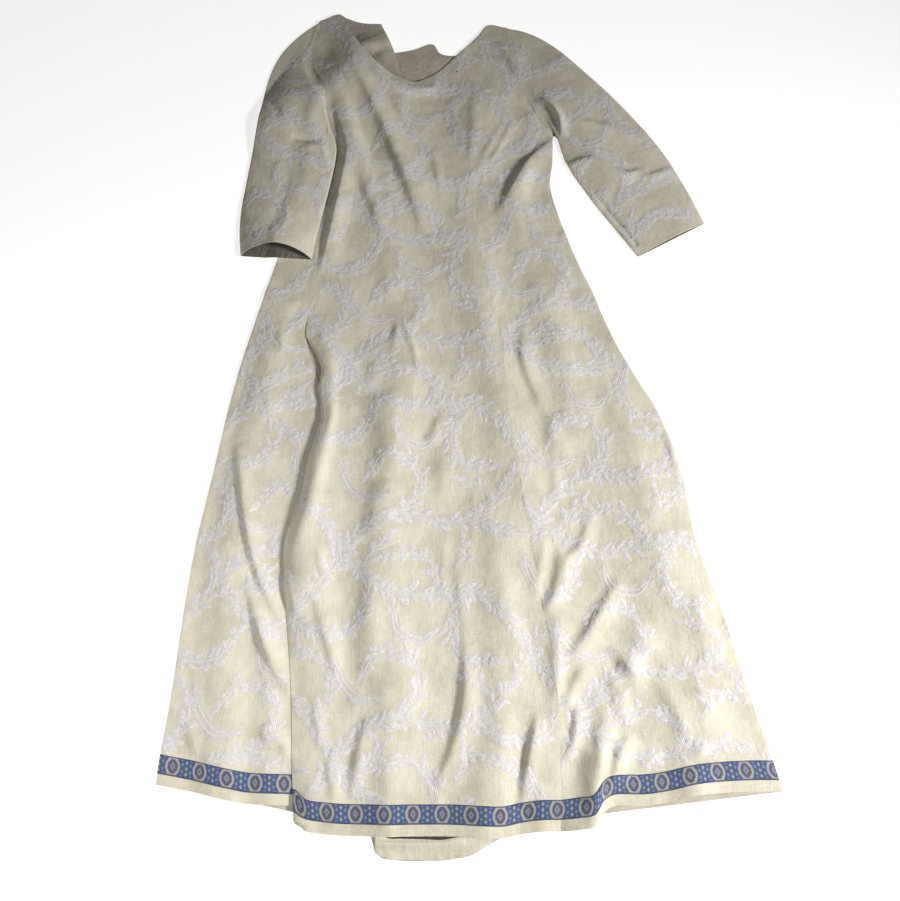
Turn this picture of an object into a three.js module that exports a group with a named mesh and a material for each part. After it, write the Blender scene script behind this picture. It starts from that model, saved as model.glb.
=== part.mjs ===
// Peasant dress of cream linen, laid flat on its back: long A-line skirt, princess
// seams, sleeves to below the elbow, a scooped neck with an open centre back, and a
// woven ribbon round the hem.
//
// Millimetres, +Z up, +Y towards the neck, +X to the viewer's right. The tables use
// garment coordinates, measured from the middle of the front hem; the last lines move
// the finished dress so that its origin is the bottom centre of its box.

import * as THREE from 'three';

// ---- driving dimensions -----------------------------------------------------

const CLOTH = 1.2;            // thickness of the linen
const RIBBON = 0.8;           // thickness of the woven hem ribbon
const TURNUP = 0.8;           // thickness of the hem allowance turned to the inside
const SEAM = 0.3;             // clearance between pieces that meet
const RIBBON_LOW = 15.5;      // hem edge to the lower edge of the ribbon
const RIBBON_WIDE = 27;       // width of the ribbon
const RIBBON_SETTLE = 35;     // height above the ribbon where the back meets the surface
const TURNUP_DEEP = 38;       // depth of the turned hem allowance
const HEM_REACH = 300;        // height over which the hem's wave dies out
const FRONT_SETTLE = [120, 200];  // heights where the front settles from ribbon to back
const SHAPED_TOP = 1110;      // height above which the rows turn up to the armholes
const OVERLAP = 22;           // how far the left side panel runs under the front fold
const OVERLAP_FULL = 650;     // below this height the front fold overlaps fully
const OVERLAP_START = 735;    // and above this one the two pieces only meet
const LIP = 3.4;              // lift of the front fold's edge over the side panel
const LIP_START = 795;        // height where that edge starts to lift
const FOLD_ROLL = 16;         // width over which the front fold rolls down
const EDGE_EASE = 48;         // width over which lifts settle towards the side edges
const SLEEVE_GAP = 0.6;       // hollow left inside a sleeve along its folded edges
const SLEEVE_CLEAR = 1.6;     // clearance of the left sleeve over the body
const BODY_RAMP = 24;         // width over which that sleeve climbs onto the body
const SLEEVE_DROP = [1228, 1272]; // heights where it drops to the surface at the armhole
const PLACKET_WIDE = 46;      // width of the facing folded back at the back opening
const PLACKET_SLANT = 32;     // how much lower its top runs out away from the opening

const COLOURS = { linen: 0xd7cfb7, inside: 0xc9bfa6, ribbon: 0x41609f };

// ---- tables -----------------------------------------------------------------

// Sections of the body: side edges, the front fold or seam on the left, the princess
// seam on the right, and the centre back, at each height y.
const SECTIONS = [
  { y: 0, left: -432, fold: -226, seam: 159, right: 496, back: 20 },
  { y: 85, left: -430, fold: -232, seam: 162, right: 479, back: 18 },
  { y: 200, left: -420, fold: -239, seam: 160, right: 449, back: 14 },
  { y: 330, left: -411, fold: -254, seam: 142, right: 416, back: 9 },
  { y: 430, left: -401, fold: -262, seam: 125, right: 388, back: 3 },
  { y: 535, left: -384, fold: -245, seam: 112, right: 374, back: -4 },
  { y: 640, left: -368, fold: -233, seam: 97, right: 343, back: -12 },
  { y: 715, left: -354, fold: -230, seam: 91, right: 303, back: -18 },
  { y: 790, left: -336, fold: -244, seam: 83, right: 270, back: -26 },
  { y: 860, left: -318, fold: -225, seam: 68, right: 246, back: -32 },
  { y: 920, left: -302, fold: -203, seam: 57, right: 221, back: -36 },
  { y: 980, left: -285, fold: -180, seam: 49, right: 201, back: -40 },
  { y: 1045, left: -268, fold: -173, seam: 47, right: 179, back: -45 },
  { y: 1110, left: -256, fold: -195, seam: 66, right: 185, back: -50 },
  { y: 1180, left: -246, fold: -222, seam: 118, right: 188, back: -62 },
  { y: 1235, left: -240, fold: -226, seam: 150, right: 188, back: -76 },
];

// Hem lines: height of the edge at each x. The front's steps are its two hem folds.
const HEM_LEFT = [
  { x: -432, y: 69 }, { x: -371, y: 58 }, { x: -304, y: 43 }, { x: -200, y: 38 },
];
const HEM_FRONT = [
  { x: -229, y: 13 }, { x: -212, y: 7 }, { x: -156, y: 1 }, { x: 5, y: 1 }, { x: 78, y: -1 },
  { x: 126, y: 7 }, { x: 171, y: 7 }, { x: 212, y: 16 }, { x: 224, y: 34 }, { x: 241, y: 41 },
  { x: 300, y: 41 }, { x: 363, y: 56 }, { x: 425, y: 60 }, { x: 496, y: 60 },
];
const HEM_BACK = [
  { x: -432, y: 69 }, { x: -300, y: 46 }, { x: -118, y: 9 }, { x: -110, y: -22 },
  { x: -90, y: -32 }, { x: -11, y: -34 }, { x: 35, y: -27 }, { x: 66, y: -4 },
  { x: 160, y: 22 }, { x: 496, y: 60 },
];

// Armholes from the shoulder down to the princess seam, and the underarm beyond it.
const ARMHOLE_LEFT = [[-245, 1426], [-260, 1360], [-252, 1315], [-231, 1275], [-226, 1222]];
const ARMHOLE_RIGHT = [[107, 1410], [112, 1355], [118, 1312], [130, 1272], [150, 1235]];
const UNDERARM_LEFT = [-246, 1180];
const UNDERARM_RIGHT = [188, 1186];
const SLEEVE_OVER_BODY = [-221, 1186];   // the left sleeve's inner corner, on the body

// Neck: highest points of the shoulders and the points that the scooped edge runs through.
const NECK_FRONT = [
  [-210, 1439], [-187, 1390], [-140, 1325], [-104, 1297], [-66, 1286],
  [-20, 1311], [14, 1350], [42, 1379], [73, 1416],
];
const NECK_BACK_LEFT = [[-210, 1439], [-170, 1423], [-131, 1420]];
const NECK_BACK_RIGHT = [
  [-104, 1354], [-70, 1361], [-34, 1374], [-16, 1351], [22, 1350], [44, 1376], [73, 1416],
];
const BACK_OPENING = { foot: [-76, 1235], right: [-104, 1354], left: [-131, 1420] };

// Lifts of the front where the cloth stands off the back: soft ridges along a curve
// through three points, with the half width and the height of the ridge. Open ones keep
// their height to their end, as at the hem; the others die away at both ends. The first
// table is the front's centre and right side, the second the side left of the fold.
const FRONT_LIFTS = [
  { name: 'front fold', from: [-212, 830], by: [-226, 430], to: [-196, 0], half: 42, lift: 12, open: true },
  { name: 'front left swell', from: [-60, 840], by: [-92, 500], to: [-66, 40], half: 46, lift: 7.5 },
  { name: 'middle swell', from: [70, 520], by: [82, 260], to: [52, 0], half: 44, lift: 9, open: true },
  { name: 'hem wave left', from: [-84, 260], by: [-92, 130], to: [-88, 0], half: 34, lift: 6, open: true },
  { name: 'hem over turn-up', from: [-22, 90], by: [-22, 45], to: [-22, 0], half: 120, lift: 3.2, open: true },
  { name: 'seam swell', from: [22, 1010], by: [92, 650], to: [150, 330], half: 48, lift: 7 },
  { name: 'seam to hem', from: [160, 330], by: [150, 160], to: [140, 0], half: 30, lift: 6, open: true },
  { name: 'right hem fold', from: [290, 300], by: [232, 150], to: [198, 10], half: 24, lift: 13, open: true },
  { name: 'right swell', from: [270, 700], by: [330, 460], to: [352, 250], half: 55, lift: 7 },
  { name: 'right hem wave', from: [380, 230], by: [370, 140], to: [362, 50], half: 38, lift: 6, open: true },
  { name: 'right hip', from: [150, 900], by: [190, 740], to: [210, 560], half: 40, lift: 6 },
  { name: 'shoulder drag', from: [-214, 1330], by: [-112, 1160], to: [-20, 1010], half: 30, lift: 6 },
  { name: 'right breast', from: [70, 1300], by: [52, 1180], to: [66, 1070], half: 52, lift: 6 },
  { name: 'right underarm', from: [160, 1140], by: [126, 1060], to: [120, 960], half: 26, lift: 5 },
  { name: 'left breast', from: [-150, 1130], by: [-120, 1030], to: [-110, 900], half: 44, lift: 5 },
  { name: 'over placket', from: [-90, 1170], by: [-118, 1270], to: [-150, 1350], half: 74, lift: 5.5, open: true },
];
const LEFT_LIFTS = [
  { name: 'left side swell', from: [-286, 840], by: [-338, 470], to: [-330, 45], half: 46, lift: 7, open: true },
  { name: 'left side tuck', from: [-300, 330], by: [-268, 220], to: [-262, 45], half: 26, lift: 4, open: true },
];

// Sleeves: outer and inner edges from the shoulder to the cuff, and the height that the
// upper layer is raised by at each station.
const SLEEVE_LEFT = [
  { outer: [-245, 1426], inner: SLEEVE_OVER_BODY, rise: 0 },
  { outer: [-284, 1394], inner: [-207, 1152], rise: 3 },
  { outer: [-318, 1350], inner: [-206, 1122], rise: 5 },
  { outer: [-338, 1296], inner: [-210, 1090], rise: 6 },
  { outer: [-349, 1226], inner: [-216, 1055], rise: 6 },
  { outer: [-357, 1150], inner: [-223, 1020], rise: 6 },
  { outer: [-366, 1070], inner: [-230, 985], rise: 9 },
  { outer: [-372, 995], inner: [-236, 952], rise: 15 },
  { outer: [-366, 928], inner: [-240, 919], rise: 21 },
];
const SLEEVE_RIGHT = [
  { outer: [107, 1410], inner: UNDERARM_RIGHT, rise: 0 },
  { outer: [153, 1396], inner: [199, 1160], rise: 3 },
  { outer: [200, 1364], inner: [206, 1124], rise: 5 },
  { outer: [246, 1317], inner: [222, 1088], rise: 6 },
  { outer: [298, 1259], inner: [242, 1055], rise: 6 },
  { outer: [346, 1197], inner: [262, 1022], rise: 5 },
  { outer: [389, 1132], inner: [284, 990], rise: 5 },
  { outer: [424, 1058], inner: [306, 958], rise: 6 },
  { outer: [450, 992], inner: [328, 926], rise: 8 },
];
const CUFF_BACK = 17;         // how far the left cuff's upper edge is drawn back
const CUFF_BACK_SHARE = 0.22; // share of the sleeve's length over which it is

// ---- small helpers ----------------------------------------------------------

const mix = (a, b, t) => a + (b - a) * t;
const mixPoint = (a, b, t) => [mix(a[0], b[0], t), mix(a[1], b[1], t)];
const ease = (from, to, value) => THREE.MathUtils.smoothstep((value - from) / (to - from), 0, 1);
const range = (count) => Array.from({ length: count + 1 }, (_, i) => i / count);

// Value of a table's column at `at`, along its key column, with a smooth cubic between
// rows or, with smooth = false, a straight line.
function lookUp(rows, key, column, at, smooth = true) {
  let i = 1;
  while (i < rows.length - 1 && rows[i][key] < at) i += 1;
  const [a, b] = [rows[i - 1], rows[i]];
  const step = b[key] - a[key];
  const t = THREE.MathUtils.clamp((at - a[key]) / step, 0, 1);
  if (!smooth) return mix(a[column], b[column], t);
  const before = rows[Math.max(i - 2, 0)];
  const after = rows[Math.min(i + 1, rows.length - 1)];
  const slopeA = (b[column] - before[column]) / (b[key] - before[key]);
  const slopeB = (after[column] - a[column]) / (after[key] - a[key]);
  const [t2, t3] = [t * t, t * t * t];
  return (2 * t3 - 3 * t2 + 1) * a[column] + (t3 - 2 * t2 + t) * step * slopeA
    + (3 * t2 - 2 * t3) * b[column] + (t3 - t2) * step * slopeB;
}

const section = (column, y) => lookUp(SECTIONS, 'y', column, y);

// Point at fraction t of a chain of points, equal steps of t for each of its links.
function onChain(points, t) {
  const at = THREE.MathUtils.clamp(t, 0, 1) * (points.length - 1);
  const link = Math.min(Math.floor(at), points.length - 2);
  return mixPoint(points[link], points[link + 1], at - link);
}

// Side boundary of the whole front at height y: side edge, then underarm and armhole.
function sideEdge(side, y) {
  const left = side === 'left';
  const armhole = left ? ARMHOLE_LEFT : ARMHOLE_RIGHT;
  const underarm = left ? UNDERARM_LEFT : UNDERARM_RIGHT;
  if (y <= underarm[1]) return section(side, y);
  const chain = [underarm, ...[...armhole].reverse()];
  let i = 1;
  while (i < chain.length - 1 && chain[i][1] < y) i += 1;
  const [a, b] = [chain[i - 1], chain[i]];
  return mix(a[0], b[0], THREE.MathUtils.clamp((y - a[1]) / (b[1] - a[1]), 0, 1));
}

// ---- lie of the cloth -------------------------------------------------------

const hemFade = (s) => 1 - ease(RIBBON_LOW + RIBBON_WIDE, HEM_REACH, s);

const RIDGE_FALL = 1.6;   // how steeply a ridge falls off by its half width

// Lifts with their middle lines sampled once, each point with its share of the height.
const asRidges = (lifts) => lifts.map((row) => {
  const bend = [2 * row.by[0] - (row.from[0] + row.to[0]) / 2,
    2 * row.by[1] - (row.from[1] + row.to[1]) / 2];
  const line = range(20).map((t) => [
    (1 - t) ** 2 * row.from[0] + 2 * t * (1 - t) * bend[0] + t * t * row.to[0],
    (1 - t) ** 2 * row.from[1] + 2 * t * (1 - t) * bend[1] + t * t * row.to[1],
    Math.sqrt(Math.sin(Math.PI * (row.open ? Math.min(t, 0.5) : t))),
  ]);
  return { ...row, line };
});

function ridgeHeight(ridge, x, y) {
  let best = Infinity;
  let strength = 0;
  for (const [px, py, taper] of ridge.line) {
    const distance = Math.hypot(x - px, y - py);
    if (distance < best) {
      best = distance;
      strength = taper;
    }
  }
  return ridge.lift * strength * Math.exp(-RIDGE_FALL * (best / ridge.half) ** 2);
}

const FRONT_RIDGES = asRidges(FRONT_LIFTS);
const LEFT_RIDGES = asRidges(LEFT_LIFTS);
const liftOf = (ridges, x, y) => ridges.reduce((sum, ridge) => sum + ridgeHeight(ridge, x, y), 0);

// Height of the front's underside. The back and its ribbon lie beneath it.
const overBack = (y) => CLOTH + SEAM + (RIBBON + SEAM) * (1 - ease(...FRONT_SETTLE, y));

function edgeEase(x, y) {
  const inside = Math.min(x - sideEdge('left', y), sideEdge('right', y) - x);
  return ease(0, EDGE_EASE, inside);
}

function underMain(x, y) {
  const lifts = liftOf(FRONT_RIDGES, x, y) * edgeEase(x, y);
  const lip = LIP * (1 - ease(OVERLAP_START, LIP_START, y));
  if (lip === 0) return overBack(y) + lifts;
  const roll = THREE.MathUtils.clamp((x - section('fold', y)) / FOLD_ROLL, 0, 1);
  const rolled = Math.sqrt(1 - (1 - roll) ** 2);
  return overBack(y) + lip + lifts * mix(1, rolled, lip / LIP);
}

function underLeft(x, y) {
  const above = ease(LIP_START, LIP_START + 4 * OVERLAP, y);
  const clear = ease(2, OVERLAP + 8, section('fold', y) - x);
  const own = liftOf(LEFT_RIDGES, x, y) * mix(clear, 1, above);
  return overBack(y) + (own + liftOf(FRONT_RIDGES, x, y) * above) * edgeEase(x, y);
}

// Height of the back's underside at s above its hem: it lies on its own ribbon.
function underBack(s) {
  const top = RIBBON_LOW + RIBBON_WIDE;
  return (RIBBON + SEAM) * ease(0, RIBBON_LOW, s) * (1 - ease(top, top + RIBBON_SETTLE, s));
}

// ---- building walls ---------------------------------------------------------

function meshOf(name, positions, triangles, colour, roughness = 0.92) {
  const geometry = new THREE.BufferGeometry();
  geometry.setAttribute('position', new THREE.Float32BufferAttribute(positions, 3));
  geometry.setIndex(triangles);
  geometry.computeVertexNormals();
  const material = new THREE.MeshStandardMaterial({ color: colour, roughness, metalness: 0 });
  const mesh = new THREE.Mesh(geometry, material);
  mesh.name = name;
  return mesh;
}

// Closed wall over a grid of plan points: grid[row][column] = [x, y, underside, s].
function wall(name, grid, thickness, colour) {
  const rows = grid.length;
  const columns = grid[0].length;
  const layer = rows * columns;
  const positions = [];
  for (const row of grid) for (const [x, y, under] of row) positions.push(x, y, under + thickness);
  for (const row of grid) for (const [x, y, under] of row) positions.push(x, y, under);
  const triangles = [];
  const quad = (a, b, c, d) => triangles.push(a, b, c, a, c, d);
  const at = (r, c) => r * columns + c;
  for (let r = 0; r < rows - 1; r += 1) {
    for (let c = 0; c < columns - 1; c += 1) {
      const corner = [at(r, c), at(r, c + 1), at(r + 1, c + 1), at(r + 1, c)];
      quad(...corner);
      quad(corner[0] + layer, corner[3] + layer, corner[2] + layer, corner[1] + layer);
    }
  }
  const rim = [];
  for (let c = 0; c < columns - 1; c += 1) rim.push([at(0, c), at(0, c + 1)]);
  for (let r = 0; r < rows - 1; r += 1) rim.push([at(r, columns - 1), at(r + 1, columns - 1)]);
  for (let c = columns - 1; c > 0; c -= 1) rim.push([at(rows - 1, c), at(rows - 1, c - 1)]);
  for (let r = rows - 1; r > 0; r -= 1) rim.push([at(r, 0), at(r - 1, 0)]);
  for (const [a, b] of rim) quad(a + layer, b + layer, b, a);
  return meshOf(name, positions, triangles, colour);
}

// The part of a grid that something lies on, moved up off its face.
const moved = (grid, firstRow, lastRow, by) => grid
  .slice(firstRow, lastRow + 1)
  .map((row) => row.map(([x, y, under, s]) => [x, y, under + by, s]));

// ---- body panels ------------------------------------------------------------

// Row heights, measured from the hem edge: three along the ribbon, then even steps.
const BODY_ROWS = [0, RIBBON_LOW, RIBBON_LOW + RIBBON_WIDE / 2, RIBBON_LOW + RIBBON_WIDE, 74,
  ...range(24).map((t) => mix(110, SHAPED_TOP, t))];
const ARMHOLE_ROWS = range(3).slice(1);
const RIBBON_ROWS = [1, 3];

// Row of a panel: its two end points, and the hem line that the low rows follow.
function bodyRow(s, leftColumn, rightColumn, hem, shares) {
  const rise = hemFade(s);
  const end = (column) => section(column, s + rise * lookUp(hem, 'x', 'y', section(column, s)));
  const [a, b] = [end(leftColumn), end(rightColumn)];
  return shares.map((u) => {
    const x = mix(a, b, u);
    return [x, s + rise * lookUp(hem, 'x', 'y', x, false), s];
  });
}

function bodyPlan({ leftColumn, rightColumn, hem, shares, topLeft, topRight }) {
  const rows = BODY_ROWS.map((s) => bodyRow(s, leftColumn, rightColumn, hem, shares));
  for (const w of ARMHOLE_ROWS) {
    const [yLeft, yRight] = [mix(SHAPED_TOP, topLeft[1], w), mix(SHAPED_TOP, topRight[1], w)];
    const last = w === 1;
    const xLeft = last ? topLeft[0] : section(leftColumn, yLeft);
    const xRight = last ? topRight[0] : section(rightColumn, yRight);
    rows.push(shares.map((u) => [mix(xLeft, xRight, u), mix(yLeft, yRight, u), SHAPED_TOP]));
  }
  return rows;
}

// Rows from the last one up to a top edge, between two side chains with equal links.
function addShaped(rows, shares, leftChain, rightChain, top) {
  const base = rows[rows.length - 1];
  const links = leftChain.length - 1;
  for (const w of range(links).slice(1)) {
    const [left, right] = [onChain(leftChain, w), onChain(rightChain, w)];
    rows.push(shares.map((u, i) => [0, 1].map((k) => (
      mix(base[i][k], top[i][k], w) + mix(left[k], right[k], u)
      - mix(mix(base[0][k], base[base.length - 1][k], u), mix(top[0][k], top[top.length - 1][k], u), w)
    )).concat(SHAPED_TOP)));
  }
}

const withUnder = (rows, under, shift = 0) => rows
  .map((row) => row.map(([x, y, s]) => [x + shift, y, under(x, y, s), s]));

// Moves the points of one edge column sideways, for the clearance at a seam.
function trimEdge(grid, column, by) {
  for (const row of grid) row[column < 0 ? row.length + column : column][0] += by;
}

function smoothTop(points, count) {
  const curve = new THREE.CatmullRomCurve3(points.map(([x, y]) => new THREE.Vector3(x, y, 0)),
    false, 'centripetal');
  return range(count).map((t) => curve.getPoint(t)).map(({ x, y }) => [x, y]);
}

function frontCentre() {
  const neckSteps = 12;
  const shares = range(neckSteps + 2);
  const plan = bodyPlan({
    leftColumn: 'fold', rightColumn: 'seam', hem: HEM_FRONT, shares,
    topLeft: ARMHOLE_LEFT[4], topRight: ARMHOLE_RIGHT[4],
  });
  const top = [ARMHOLE_LEFT[0], ...smoothTop(NECK_FRONT, neckSteps), ARMHOLE_RIGHT[0]];
  addShaped(plan, shares, [...ARMHOLE_LEFT].reverse(), [...ARMHOLE_RIGHT].reverse(), top);
  const grid = withUnder(plan, underMain);
  trimEdge(grid, -1, -SEAM);
  return grid;
}

function frontSideLeft() {
  const shares = range(8);
  const plan = bodyPlan({
    leftColumn: 'left', rightColumn: 'fold', hem: HEM_LEFT, shares,
    topLeft: UNDERARM_LEFT, topRight: ARMHOLE_LEFT[4],
  });
  plan.forEach((row) => row.forEach((point, i) => {
    const under = OVERLAP * (1 - ease(OVERLAP_FULL, OVERLAP_START, point[1]));
    point[0] += (under - SEAM * 1.4) * shares[i] ** 2;
  }));
  return withUnder(plan, underLeft);
}

function frontSideRight() {
  const shares = [0, 0.08, 0.15, 0.2, 0.25, 0.31, 0.39, 0.5, 0.62, 0.75, 0.88, 1];
  const plan = bodyPlan({
    leftColumn: 'seam', rightColumn: 'right', hem: HEM_FRONT, shares,
    topLeft: ARMHOLE_RIGHT[4], topRight: UNDERARM_RIGHT,
  });
  return withUnder(plan, underMain);
}

const BACK_ROWS_KEPT = (row, index) => index < 5 || index > 27 || index % 2 === 0;

function backHalf(side) {
  const left = side === 'left';
  const shares = left ? [0, 0.2, 0.4, 0.56, 0.695, 0.72, 0.78, 0.88, 1] : range(7);
  const plan = bodyPlan({
    leftColumn: left ? 'left' : 'back', rightColumn: left ? 'back' : 'right', hem: HEM_BACK, shares,
    topLeft: left ? UNDERARM_LEFT : BACK_OPENING.foot,
    topRight: left ? BACK_OPENING.foot : UNDERARM_RIGHT,
  });
  const armhole = left ? ARMHOLE_LEFT : ARMHOLE_RIGHT;
  const outer = [left ? UNDERARM_LEFT : UNDERARM_RIGHT, ...[...armhole].reverse()];
  const neck = left ? NECK_BACK_LEFT : NECK_BACK_RIGHT;
  const { foot, right, left: flap } = BACK_OPENING;
  const straight = range(left ? 3 : outer.length - 1).map((t) => mixPoint(foot, right, t));
  const inner = left ? [...straight, mixPoint(right, flap, 0.5), flap] : straight;
  const shoulder = left ? ARMHOLE_LEFT[0] : ARMHOLE_RIGHT[0];
  const steps = shares.length - 2;
  const top = left ? [shoulder, ...smoothTop(neck, steps)] : [...smoothTop(neck, steps), shoulder];
  addShaped(plan, shares, left ? outer : inner, left ? inner : outer, top);
  const grid = withUnder(plan.filter(BACK_ROWS_KEPT), (x, y, s) => underBack(s));
  if (left) trimEdge(grid, -1, -SEAM * 1.2);
  return grid;
}

// ---- pieces on the back panels ------------------------------------------------

// The stretch of the back's hem allowance that shows below the front.
function turnup(from, to) {
  const heights = [1, RIBBON_LOW, RIBBON_LOW + RIBBON_WIDE / 2, TURNUP_DEEP];
  return heights.map((s) => range(9).map((u) => {
    const x = mix(from, to, u);
    const y = s + lookUp(HEM_BACK, 'x', 'y', x, false);
    return [x, y, underBack(s) + CLOTH + SEAM, s];
  }));
}

// The facing of the left half, folded back along the opening, with a slanted top.
function placket() {
  const { foot, right, left } = BACK_OPENING;
  const edge = [...range(4).map((t) => mixPoint(foot, right, t)), mixPoint(right, left, 0.35),
    mixPoint(right, left, 0.7)];
  return edge.map(([x, y], row) => range(3).map((u) => {
    const slant = PLACKET_SLANT * ease(0.6, 1, row / (edge.length - 1)) * (1 - u);
    return [x - SEAM * 4 - PLACKET_WIDE * (1 - u), y - slant, CLOTH + SEAM];
  }));
}

// ---- sleeves ------------------------------------------------------------------

// Height of the surface that the left sleeve lies on: the floor, and then the body.
function bedOfLeft(x, y) {
  const onto = ease(-BODY_RAMP, -5, x - sideEdge('left', Math.min(y, UNDERARM_LEFT[1])));
  return (underLeft(x, y) + CLOTH + SLEEVE_CLEAR) * onto * (1 - ease(...SLEEVE_DROP, y));
}

// Flattened tube with a wall, open at the armhole and at the cuff.
function sleeve(name, stations, mouth, outward, bed, cuffBack) {
  const across = range((mouth.length - 1) * 2);
  const along = range(12);
  const rows = stations.map((row, i) => ({ t: i / (stations.length - 1), ...row,
    ox: row.outer[0], oy: row.outer[1], ix: row.inner[0], iy: row.inner[1] }));
  const rings = along.map((t) => {
    const value = (column) => lookUp(rows, 't', column, t);
    const [outer, inner] = [[value('ox'), value('oy')], [value('ix'), value('iy')]];
    const wide = Math.hypot(outer[0] - inner[0], outer[1] - inner[1]);
    const bow = (1 - t) ** 3;
    const drawn = cuffBack * ease(1 - CUFF_BACK_SHARE, 1, t);
    const place = (s) => {
      const straight = mixPoint(stations[0].outer, stations[0].inner, s);
      const edge = onChain(mouth, s);
      const [x, y] = mixPoint(outer, inner, s);
      return [x + (edge[0] - straight[0]) * bow + outward * SEAM * 1.4, y + (edge[1] - straight[1]) * bow];
    };
    const ring = (inset) => {
      const skin = inset / wide;
      const points = [];
      for (const s of across) {
        const inside = mix(skin, 1 - skin, s);
        const [x, y] = place(inside);
        const crown = Math.sin(Math.PI * s) ** 0.8;
        const height = 2 * CLOTH + SLEEVE_GAP + value('rise') * crown;
        points.push([x, y + drawn * crown, bed(x, y) + height - inset]);
      }
      for (const s of [...across].reverse()) {
        const [x, y] = place(mix(skin, 1 - skin, s));
        points.push([x, y, bed(x, y) + inset]);
      }
      return points;
    };
    return { outside: ring(0), inside: ring(CLOTH) };
  });
  return tube(name, rings, outward > 0);
}

function tube(name, rings, flip) {
  const around = rings[0].outside.length;
  const layer = rings.length * around;
  const positions = [];
  for (const ring of rings) for (const point of ring.outside) positions.push(...point);
  for (const ring of rings) for (const point of ring.inside) positions.push(...point);
  const triangles = [];
  const quad = (a, b, c, d) => triangles.push(...(flip ? [a, c, b, a, d, c] : [a, b, c, a, c, d]));
  const last = rings.length - 1;
  for (let i = 0; i < around; i += 1) {
    const next = (i + 1) % around;
    for (let r = 0; r < last; r += 1) {
      const [a, b] = [r * around + i, r * around + next];
      quad(a, a + around, b + around, b);
      quad(a + layer, b + layer, b + around + layer, a + around + layer);
    }
    quad(i, next, next + layer, i + layer);
    const end = last * around;
    quad(end + i, end + i + layer, end + next + layer, end + next);
  }
  return meshOf(name, positions, triangles, COLOURS.linen);
}

// ---- the dress ----------------------------------------------------------------

const dress = new THREE.Group();
const centre = frontCentre();
const sideLeft = frontSideLeft();
const sideRight = frontSideRight();
const backLeft = backHalf('left');
const backRight = backHalf('right');

dress.add(wall('front_centre', centre, CLOTH, COLOURS.linen));
dress.add(wall('front_side_left', sideLeft, CLOTH, COLOURS.linen));
dress.add(wall('front_side_right', sideRight, CLOTH, COLOURS.linen));
dress.add(wall('back_left', backLeft, CLOTH, COLOURS.linen));
dress.add(wall('back_right', backRight, CLOTH, COLOURS.linen));

const ribbons = { hem_ribbon_centre: centre, hem_ribbon_left: sideLeft, hem_ribbon_right: sideRight };
for (const [name, grid] of Object.entries(ribbons)) {
  dress.add(wall(name, moved(grid, ...RIBBON_ROWS, CLOTH + SEAM), RIBBON, COLOURS.ribbon));
}
const wholeBack = backLeft.map((row, i) => [...row, ...backRight[i]]);
const backRibbon = moved(wholeBack, ...RIBBON_ROWS, -(RIBBON + SEAM));
dress.add(wall('hem_ribbon_back', backRibbon, RIBBON, COLOURS.ribbon));
dress.add(wall('hem_turnup_back', turnup(-108, 64), TURNUP, COLOURS.inside));
dress.add(wall('placket_back', placket(), CLOTH, COLOURS.inside));

const mouthLeft = [...ARMHOLE_LEFT, SLEEVE_OVER_BODY];
const mouthRight = [...ARMHOLE_RIGHT, UNDERARM_RIGHT];
dress.add(sleeve('sleeve_left', SLEEVE_LEFT, mouthLeft, -1, bedOfLeft, CUFF_BACK));
dress.add(sleeve('sleeve_right', SLEEVE_RIGHT, mouthRight, 1, () => 0, 0));

const box = new THREE.Box3().setFromObject(dress);
const middle = box.getCenter(new THREE.Vector3());
dress.position.set(-middle.x, -middle.y, -box.min.z);

export default dress;
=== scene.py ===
"""Peasant dress of embroidered cream linen, laid flat on its back: the looks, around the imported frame.

Every cloth piece is a thin skin on the face of its solid. The creases, the embroidered scrolls and the
stitches are placed in garment coordinates: millimetres from the middle of the front hem, +Y to the neck.
"""

import math

import bpy
import numpy as np
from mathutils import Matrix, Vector
from mathutils.bvhtree import BVHTree


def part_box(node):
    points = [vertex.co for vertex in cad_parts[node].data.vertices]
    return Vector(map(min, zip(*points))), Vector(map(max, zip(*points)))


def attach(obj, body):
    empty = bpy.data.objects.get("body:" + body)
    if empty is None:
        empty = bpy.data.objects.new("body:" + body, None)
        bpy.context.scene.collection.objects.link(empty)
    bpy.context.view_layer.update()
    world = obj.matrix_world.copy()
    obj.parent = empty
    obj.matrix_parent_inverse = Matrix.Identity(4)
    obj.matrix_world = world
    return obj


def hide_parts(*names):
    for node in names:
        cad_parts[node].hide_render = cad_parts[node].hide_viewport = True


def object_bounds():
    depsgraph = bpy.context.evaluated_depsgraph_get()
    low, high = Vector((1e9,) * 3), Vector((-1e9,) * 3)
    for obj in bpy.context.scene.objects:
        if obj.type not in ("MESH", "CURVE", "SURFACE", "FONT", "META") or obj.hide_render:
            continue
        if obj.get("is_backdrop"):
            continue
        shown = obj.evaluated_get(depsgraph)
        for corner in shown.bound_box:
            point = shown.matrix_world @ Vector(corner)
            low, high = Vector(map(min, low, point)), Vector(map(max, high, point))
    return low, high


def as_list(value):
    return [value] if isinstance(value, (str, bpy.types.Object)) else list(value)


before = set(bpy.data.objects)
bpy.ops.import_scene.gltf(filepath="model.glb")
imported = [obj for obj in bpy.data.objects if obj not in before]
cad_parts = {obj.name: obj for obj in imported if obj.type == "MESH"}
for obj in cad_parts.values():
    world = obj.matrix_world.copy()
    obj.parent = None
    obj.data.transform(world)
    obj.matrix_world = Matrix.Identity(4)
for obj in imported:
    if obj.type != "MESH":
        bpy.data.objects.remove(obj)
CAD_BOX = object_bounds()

# ---- sizes, in millimetres ----

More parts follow.
